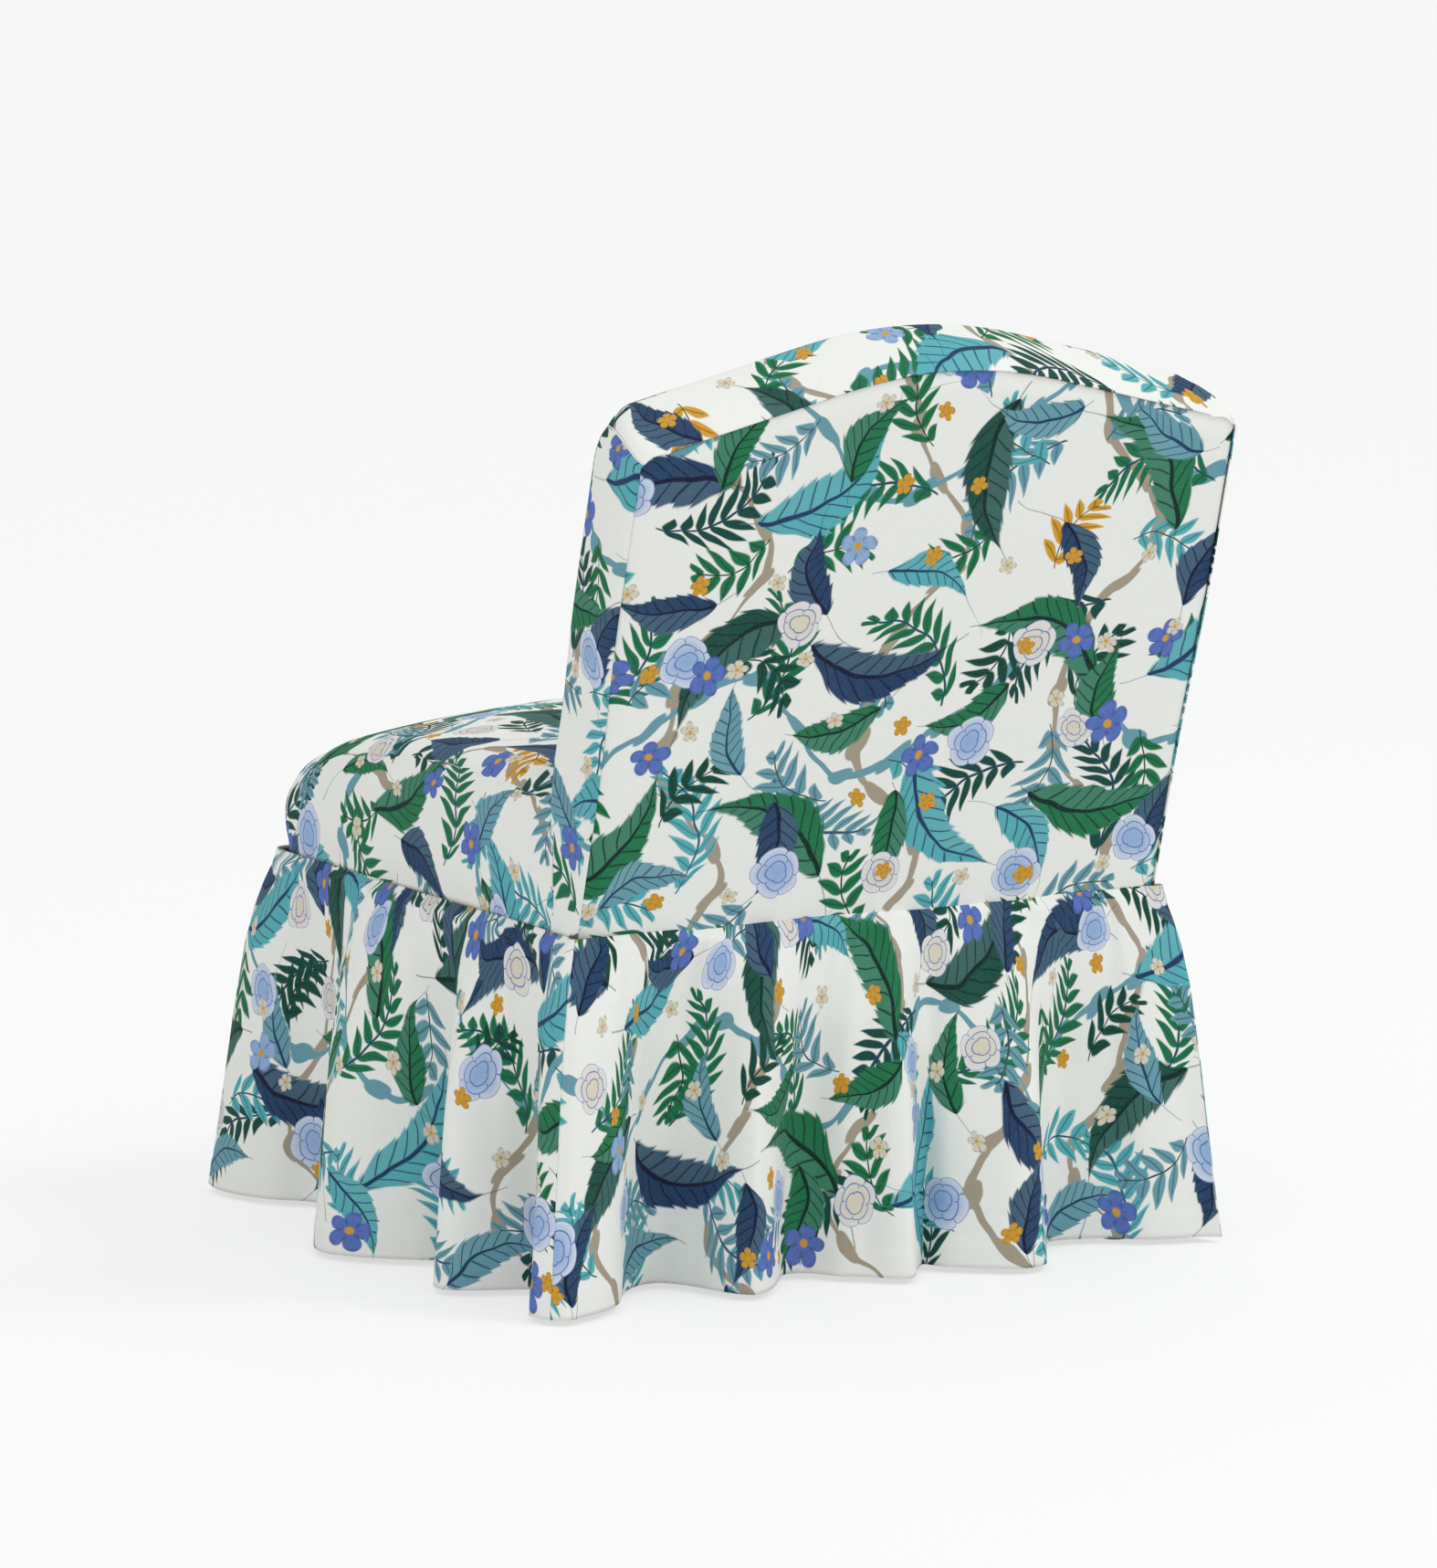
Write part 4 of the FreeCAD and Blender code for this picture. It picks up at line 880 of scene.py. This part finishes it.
def lay_leaves(colour, u, v, brush):
    for size, shift, seed, length, width, teeth, bend, inks, darks in (
            (0.172, 0.13, 1.0, 0.148, 0.185, 10.0, 0.75,
             (NAVY, EMERALD, AQUA, DEEP_GREEN), (DARK_NAVY, DARK_GREEN, NAVY, DARK_GREEN)),
            (0.140, 0.22, 5.0, 0.092, 0.215, 8.0, -0.6,
             (EMERALD, AQUA, NAVY, DUSTY_BLUE), (DARK_GREEN, NAVY, DARK_NAVY, NAVY))):
        x, y, dice, _ = use_group(repeat_group, u, v, size, shift, 0.97 - length / size, seed)
        shape, vein, lighter = use_group(leaf_group, x, y, length, width, teeth, bend)
        base = picked(dice, inks)
        tint = laid(lighter * 0.13 + brush * 0.05, base, linear(150, 196, 200))
        colour = laid(shape, colour, tint)
        colour = laid(vein * shape, colour, picked(dice, darks))
    return colour


print("sprays and leaves ready")

# %% Roses and blossoms
def lay_blooms(colour, u, v, brush):
    x, y, dice, other = use_group(repeat_group, u, v, 0.128, 0.215, 0.44, 11.0)
    shape, line, wind = use_group(rose_group, x, y, (other * 0.010) + 0.017)
    shown = shape * dice.rising(0.34, 0.36)
    petals = picked(other, (PALE_BLUE, CREAM, PALE_BLUE))
    inside = laid(wind * wind * 0.8, petals, linear(232, 234, 238))
    colour = laid(shown, colour, inside)
    colour = laid(line * shown, colour, PERIWINKLE)
    for size, shift, seed, radius, inks, dark in (
            (0.096, 0.44, 14.0, 0.0205, (PERIWINKLE, PALE_BLUE, PERIWINKLE), NAVY),
            (0.078, 0.57, 21.0, 0.0098, (PERIWINKLE, MUSTARD, CREAM), NAVY)):
        x, y, dice, other = use_group(repeat_group, u, v, size, shift, 0.45, seed)
        shape, line, eye = use_group(blossom_group, x, y, radius)
        shown = shape * dice.rising(0.46, 0.48)
        colour = laid(shown, colour, picked(other, inks))
        colour = laid(line * shown * 0.75, colour, dark)
        colour = laid(eye * shown, colour, MUSTARD)
    return colour


print("roses and blossoms ready")

# %% Printed linen
def printed_linen_paint():
    paint, tree, surface = new_paint("printed_linen")
    cloth = add_node(tree, "UVMap", uv_map="cloth")
    rough_edge = add_node(tree, "TexNoise", {0: cloth.outputs[0], "Scale": 15.0, "Detail": 1.6,
                                             "Roughness": 0.5}, noise_dimensions="2D")
    wobble = add_node(tree, "VectorMath", {0: rough_edge.outputs["Color"], 1: (0.5, 0.5, 0.5)},
                      operation="SUBTRACT")
    shaken = add_node(tree, "VectorMath", {0: wobble.outputs[0], 1: (0.021, 0.021, 0),
                                           2: cloth.outputs[0]}, operation="MULTIPLY_ADD")
    parts = add_node(tree, "SeparateXYZ", {0: shaken.outputs[0]})
    u, v = Num(parts.outputs[0]), Num(parts.outputs[1])
    brush = Num(rough_edge.outputs[0])
    colour = GROUND
    for lay in (lay_twigs, lay_sprays, lay_leaves, lay_blooms):
        colour = lay(colour, u, v, brush)

    threads = []
    for stretch in ((240.0, 1900.0, 1.0), (1900.0, 240.0, 1.0)):
        thin = add_node(tree, "Mapping", {0: cloth.outputs[0], 3: stretch})
        noise = {0: thin.outputs[0], "Scale": 1.0, "Detail": 1.0}
        noise = add_node(tree, "TexNoise", noise, noise_dimensions="2D")
        threads.append(Num(noise.outputs[0]))
    weave = threads[0] + threads[1]
    worn = laid((weave - 0.96) * 0.12, colour, linear(205, 201, 190))
    feed(surface.inputs["Base Color"], worn)
    relief = add_node(tree, "Bump", {"Height": weave, "Strength": 0.35, "Distance": 0.0006})
    feed(surface.inputs["Normal"], relief.outputs[0])
    for socket, value in (("Roughness", 0.86), ("Specular IOR Level", 0.14),
                          ("Sheen Weight", 0.02), ("Sheen Roughness", 0.5)):
        feed(surface.inputs[socket], value)
    return paint


linen = printed_linen_paint()
print("print has", len(linen.node_tree.nodes), "nodes")

# %% [markdown]
# The other finishes. Nothing inside the chair is printed: pale sawn hardwood, dark legs, bright
# and blued steel, foam with fine pores, fluffy wadding, burlap, striped webbing and black cambric.
# Each one is mixed from noise and waves at its real scale, on the piece's own place in the room.

# %% Helpers for plain finishes
def stretched_place(tree, scale):
    place = add_node(tree, "TexCoord").outputs["Object"]
    return add_node(tree, "Mapping", {0: place, 3: scale}).outputs[0]


def noise_on(tree, scale, detail=2.0):
    noise = {0: stretched_place(tree, scale), "Scale": 1.0, "Detail": detail}
    return Num(add_node(tree, "TexNoise", noise).outputs[0])


def threads_on(tree, pitch, axes=(0, 1)):
    """Over and under of crossing threads, as a height from 0 to 1."""
    place = add_node(tree, "SeparateXYZ", {0: stretched_place(tree, (1, 1, 1))})
    one, two = [Num(place.outputs[axis]) * (math.pi / pitch) for axis in axes]
    return (one.sum("SINE") * two.sum("SINE")) * 0.5 + 0.5


def finish_surface(surface, share, dark, light, roughness, relief, depth):
    feed(surface.inputs["Base Color"], laid(share, dark, light))
    feed(surface.inputs["Roughness"], share * 0.12 + (roughness - 0.06))
    bump = add_node(share.tree, "Bump", {"Height": relief, "Strength": 0.5, "Distance": depth})
    feed(surface.inputs["Normal"], bump.outputs[0])


print("noise and threads are ready")

# %% Wood, steel, soft and woven paints
def wood_paint(name, axis, dark, light, roughness):
    """Wood with its grain along one axis: stretched rings, and fine pores on top."""
    paint, tree, surface = new_paint(name)
    along, pores = [26.0] * 3, [900.0] * 3
    along[axis], pores[axis] = 1.6, 22.0
    rings = (noise_on(tree, along, 3.0) * 9.0).sum("SINE") * 0.5 + 0.5
    fine = noise_on(tree, pores)
    share = rings * 0.55 + fine * 0.45
    finish_surface(surface, share, linear(*dark), linear(*light), roughness, fine, 0.0002)
    return paint


def steel_paint(name, dark, light, roughness):
    paint, tree, surface = new_paint(name)
    share = noise_on(tree, [300.0] * 3, 3.0)
    finish_surface(surface, share, linear(*dark), linear(*light), roughness, share, 0.00005)
    feed(surface.inputs["Metallic"], 1.0)
    return paint


def soft_paint(name, scale, dark, light, depth, sheen=0.0):
    """Foam, wadding, card or nylon: a soft mottled surface."""
    paint, tree, surface = new_paint(name)
    fine = noise_on(tree, [scale] * 3, 4.0)
    share = (fine - 0.5) * 1.6 + 0.5
    finish_surface(surface, share, linear(*dark), linear(*light), 0.88, fine, depth)
    feed(surface.inputs["Sheen Weight"], sheen)
    return paint


def woven_paint(name, pitch, dark, light, axes=(0, 1), stripe=None):
    """A plain weave at its real thread pitch, with an optional stripe across the width."""
    paint, tree, surface = new_paint(name)
    weave = threads_on(tree, pitch, axes)
    share = weave * 0.6 + noise_on(tree, [400.0] * 3) * 0.4
    light = linear(*light)
    if stripe:
        place = add_node(tree, "SeparateXYZ", {0: stretched_place(tree, (1, 1, 1))})
        line = abs((Num(place.outputs[axes[0]]) / 0.025).sum("FRACT") - 0.5)
        light = laid(line.below(0.12, 0.02), light, linear(*stripe))
    finish_surface(surface, share, linear(*dark), light, 0.9, weave, 0.0006)
    return paint


print("kinds of paint are ready")

# %% Plain finishes
PAINTS = {
    "bolt_steel": steel_paint("zinc_plate", (150, 152, 152), (205, 207, 206), 0.34),
    "spring_steel": steel_paint("oiled_spring_steel", (52, 50, 50), (96, 94, 96), 0.38),
    "clip_steel": steel_paint("clip_steel", (120, 121, 124), (176, 178, 180), 0.4),
    "glide_nylon": soft_paint("grey_nylon", 500.0, (160, 158, 152), (186, 184, 178), 0.0001),
    "tie_wire": soft_paint("paper_tie_wire", 260.0, (150, 122, 84), (196, 168, 124), 0.0003),
    "foam": soft_paint("foam", 620.0, (205, 188, 140), (238, 227, 190), 0.0007),
    "wadding": soft_paint("wadding", 90.0, (222, 222, 218), (246, 246, 243), 0.0030, 0.3),
    "tack_strip_card": soft_paint(
        "tack_strip_card", 340.0, (150, 126, 92), (186, 160, 122), 0.0002),
    "burlap": woven_paint("burlap", 0.0021, (122, 92, 54), (188, 156, 106)),
    "webbing": woven_paint(
        "webbing", 0.0014, (150, 128, 92), (205, 188, 152), axes=(0, 2), stripe=(172, 60, 46)),
    "cambric": woven_paint("black_cambric", 0.0009, (22, 22, 24), (46, 46, 49)),
}
lining = soft_paint("skirt_lining", 900.0, (226, 222, 212), (240, 237, 229), 0.0001)
for axis, letter in enumerate("xyz"):
    PAINTS["frame_wood_" + letter] = wood_paint(
        "pale_hardwood_" + letter, axis, (184, 150, 110), (224, 198, 160), 0.62)
    PAINTS["leg_wood_" + letter] = wood_paint(
        "dark_leg_wood_" + letter, axis, (44, 25, 15), (86, 54, 34), 0.36)
print("plain finishes:", len(PAINTS))

# %% [markdown]
# The frame's own pieces keep their CAD shapes and get these finishes. Wood is cut so that its
# grain runs along a rail or a leg, so the grain follows the longest side of each piece.

# %% Paint the frame
for name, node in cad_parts.items():
    if not node.data or not node.data.materials:
        continue
    slot = node.data.materials[0].name
    if slot in ("frame_wood", "leg_wood"):
        low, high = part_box(name)
        slot += "_" + "xyz"[max(range(3), key=lambda axis: high[axis] - low[axis])]
    if slot in PAINTS:
        node.data.materials[0] = PAINTS[slot]
print("frame painted")

# %% [markdown]
# The stuffing. Foam is cut a little larger than its place and squeezed under the cover, so each
# pad follows the cover's own form, only smaller. The seat pad's underside bows over the springs.

# %% Foam pads
def hand_over(piece, node):
    """The piece rides on the chair, and the CAD node that it stands for is hidden."""
    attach(piece, "root")
    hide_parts(node)


def padded_piece(piece, node, slot):
    smooth_faces(piece)
    piece.data.materials.append(PAINTS[slot])
    hand_over(piece, node)


UNDER_COVER = 0.0022
BOW = 0.031
burlap_low, burlap_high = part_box("seat_burlap")
middle = (burlap_low + burlap_high) / 2
seat_pad = clay_block("seat_foam_pad", 44)
pad_grid = points_of(seat_pad)
pad = seat_point(pad_grid, UNDER_COVER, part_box("seat_foam")[0].z + 0.0006)
from_side = 1 - np.clip(np.abs(pad[:, 0]) / 0.31, 0, 1) ** 8
bowed = np.clip((1 - ((pad[:, 1] - middle.y) / 0.275) ** 2) * from_side, 0, 1)
pad[:, 2] += BOW * bowed * (1 - (pad_grid[:, 2] + 1) / 2) ** 2
move_points(seat_pad, pad)
padded_piece(seat_pad, "seat_foam", "foam")

back_pad = clay_block("back_foam_pad", 44)
move_points(back_pad, leaned(*back_point(points_of(back_pad), UNDER_COVER, 0.034, 0.0535)))
padded_piece(back_pad, "back_foam", "foam")
print("pads:", len(seat_pad.data.polygons), len(back_pad.data.polygons), "faces")

# %% [markdown]
# Wadding takes the hard feel off the rails and fills out the outside back. It is fluffy, so its
# thin slabs have soft edges and small lumps.

# %% Wadding
def lumps(point, size, depth):
    """Two crossing waves, as soft heights on a slab."""
    one, other = point @ np.array([1.0, 0.7, 0.9]), point @ np.array([-0.6, 1.0, 0.8])
    return depth * (np.sin(one / size) * np.sin(other / size))[:, None]


for node in ("front_rail_wadding", "left_rail_wadding", "right_rail_wadding"):
    low, high = [np.array(corner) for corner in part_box(node)]
    slab = clay_block(node + "_slab", 26)
    half = (high - low) / 2 - 0.0003
    radius = np.minimum(half, 0.0028)
    slab_points = rounded(points_of(slab) * half, -half, half, radius)
    thin = np.argmin(half)
    slab_points[:, thin] *= (0.93 + lumps(slab_points, 0.011, 0.06))[:, 0]
    move_points(slab, slab_points + (low + high) / 2)
    padded_piece(slab, node, "wadding")

FLEECE_HALF, FLEECE_LOW = 0.2955, 0.028
fleece, fleece_x, fleece_up, fleece_top = crest_grid(
    "outside_back_fleece", 60, FLEECE_HALF, FLEECE_LOW, 0.024)
edge = np.minimum(fleece_top - fleece_up, fleece_up - FLEECE_LOW)
edge = np.minimum(edge, FLEECE_HALF - np.abs(fleece_x))
swell = 0.0030 * smooth_step(edge / 0.012)
fleece_points = leaned(fleece_x, fleece_up, 0.0062 - swell)
move_points(fleece, fleece_points + lumps(fleece_points, 0.014, 0.0003))
finish_with(fleece, "SOLIDIFY", thickness=0.0028, offset=-1)
padded_piece(fleece, "outside_back_wadding", "wadding")
print("fleece has", len(fleece.data.polygons), "faces")

# %% [markdown]
# The dust cover closes the underside: black cambric, stapled to the rails and notched at the
# legs, with a slight sag in the middle. Its grid lines are moved onto the notches' edges first.

# %% Dust cover
SAG, PULL = 0.007, 0.0006
LEG_GAP = 0.0006
SQUARES = 72
cover_low, cover_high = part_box("dust_cover")
legs = [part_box(name) for name in (
    "front_left_leg", "front_right_leg", "left_back_post", "right_back_post")]


def lines_between(start, end, edges, count):
    """Even grid lines, with the nearest one moved onto each edge."""
    lines = np.linspace(start, end, count)
    for edge in edges:
        if start < edge < end:
            lines[1 + np.argmin(np.abs(lines[1:-1] - edge))] = edge
    return np.sort(lines)


cambric = primitive(bpy.ops.mesh.primitive_grid_add, "dust_cover_cloth",
                    x_subdivisions=SQUARES, y_subdivisions=SQUARES)
grid = points_of(cambric)
place = []
for k in (0, 1):
    edges = [edge for a, b in legs for edge in (a[k] - LEG_GAP, b[k] + LEG_GAP)]
    lines = lines_between(cover_low[k], cover_high[k], edges, SQUARES + 1)
    place.append(lines[np.rint((grid[:, k] + 1) / 2 * SQUARES).astype(int)])
x, y = place
inner_x = np.clip(1 - (x / 0.268) ** 2, 0, 1)
inner_y = np.clip(1 - ((y - middle.y) / 0.25) ** 2, 0, 1)
pulled = PULL * (np.sin(x / 0.0116) * (1 - inner_y) + np.sin(y / 0.0116) * (1 - inner_x))
z = cover_high.z - 0.0003 - SAG * np.sqrt(inner_x * inner_y) - np.abs(pulled)
move_points(cambric, beside(x, y, z))
drop_faces(cambric, lambda c: any(
    all(a[k] - LEG_GAP < c[k] < b[k] + LEG_GAP for k in (0, 1)) for a, b in legs))
smooth_faces(cambric)
finish_with(cambric, "SOLIDIFY", thickness=0.0004, offset=0)
cambric.data.materials.append(PAINTS["cambric"])
hand_over(cambric, "dust_cover")
print("dust cover has", len(cambric.data.polygons), "faces")

# %% [markdown]
# Staples hold the dust cover. A staple is one bent wire: a bar with rounded edges whose two ends
# go into the rail. One is modelled, and its copies go all round at an even pitch.

# %% Staples
STAPLE = (0.0105, 0.0012, 0.0007)
EDGE_GAP, PITCH = 0.007, 0.048
nothing_selected()
bpy.ops.mesh.primitive_cube_add(size=1, location=(0, 0, 0))
staple = bpy.context.object
on_all_faces(bpy.ops.transform.resize, value=STAPLE)
finish_with(staple, "BEVEL", width=0.00028, segments=2)
crown = points_of(staple)
crown[:, 2] += 0.0004 * (np.abs(crown[:, 0]) / 0.0052) ** 4
low, high = cover_low + Vector((EDGE_GAP,) * 3), cover_high - Vector((EDGE_GAP,) * 3)
down_side = np.arange(middle.y - 0.168, middle.y + 0.17, PITCH)
spots = [(x, y, 0) for y in (low.y, high.y) for x in np.arange(-0.216, 0.217, PITCH)]
spots += [(x, y, 1) for x in (low.x, high.x) for y in down_side]
copies = []
for x, y, turned_round in spots:
    copy = staple.copy()
    copy.data = staple.data.copy()
    bpy.context.scene.collection.objects.link(copy)
    place = crown[:, [1, 0, 2]] if turned_round else crown
    move_points(copy, place + np.array([x, y, cover_low.z - 0.0009]))
    copies.append(copy)
nothing_selected()
for copy in copies:
    copy.select_set(True)
bpy.context.view_layer.objects.active = copies[0]
bpy.ops.object.join()
staples = bpy.context.object
staples.name = staples.data.name = "dust_cover_staples"
bpy.data.objects.remove(staple)
chosen(staples)
on_all_faces(bpy.ops.mesh.normals_make_consistent, inside=False)
staples.data.materials.append(PAINTS["clip_steel"])
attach(staples, "root")
print("staples:", len(copies))

# %% [markdown]
# Dress the pieces. Each cover gets its thickness, its print and, for the skirt, a lining on the
# inner side, and the CAD solid that each stands for is hidden. A flat grid faces up, so the panel
# and the skirt are turned inside out first.

# %% Covers
COVER_THICKNESS = 0.0012
covers = [
    (seat, "seat_cover", (0.80, 0.72), "stretched", "seat_foam"),
    (back, "inside_back_cover", (0.80, 0.66), "stretched", "rear_rail"),
    (panel, "outside_back_panel", (0.608, 0.530), "stretched", "rear_rail"),
]
covers += [(cloth, node, (run, WAIST - HEM), "gathered", "rear_rail")
           for node, (cloth, run) in skirts.items()]
for piece, node, size, held, carrier in covers:
    lined = held == "gathered"
    chosen(piece)
    if piece not in (seat, back):
        on_all_faces(bpy.ops.mesh.flip_normals)
    smooth_faces(piece)
    piece.data.materials.append(linen)
    if lined:
        piece.data.materials.append(lining)
    finish_with(piece, "SOLIDIFY", thickness=COVER_THICKNESS, offset=-1, material_offset=int(lined))
    hand_over(piece, node)
print("covers dressed:", len(covers))
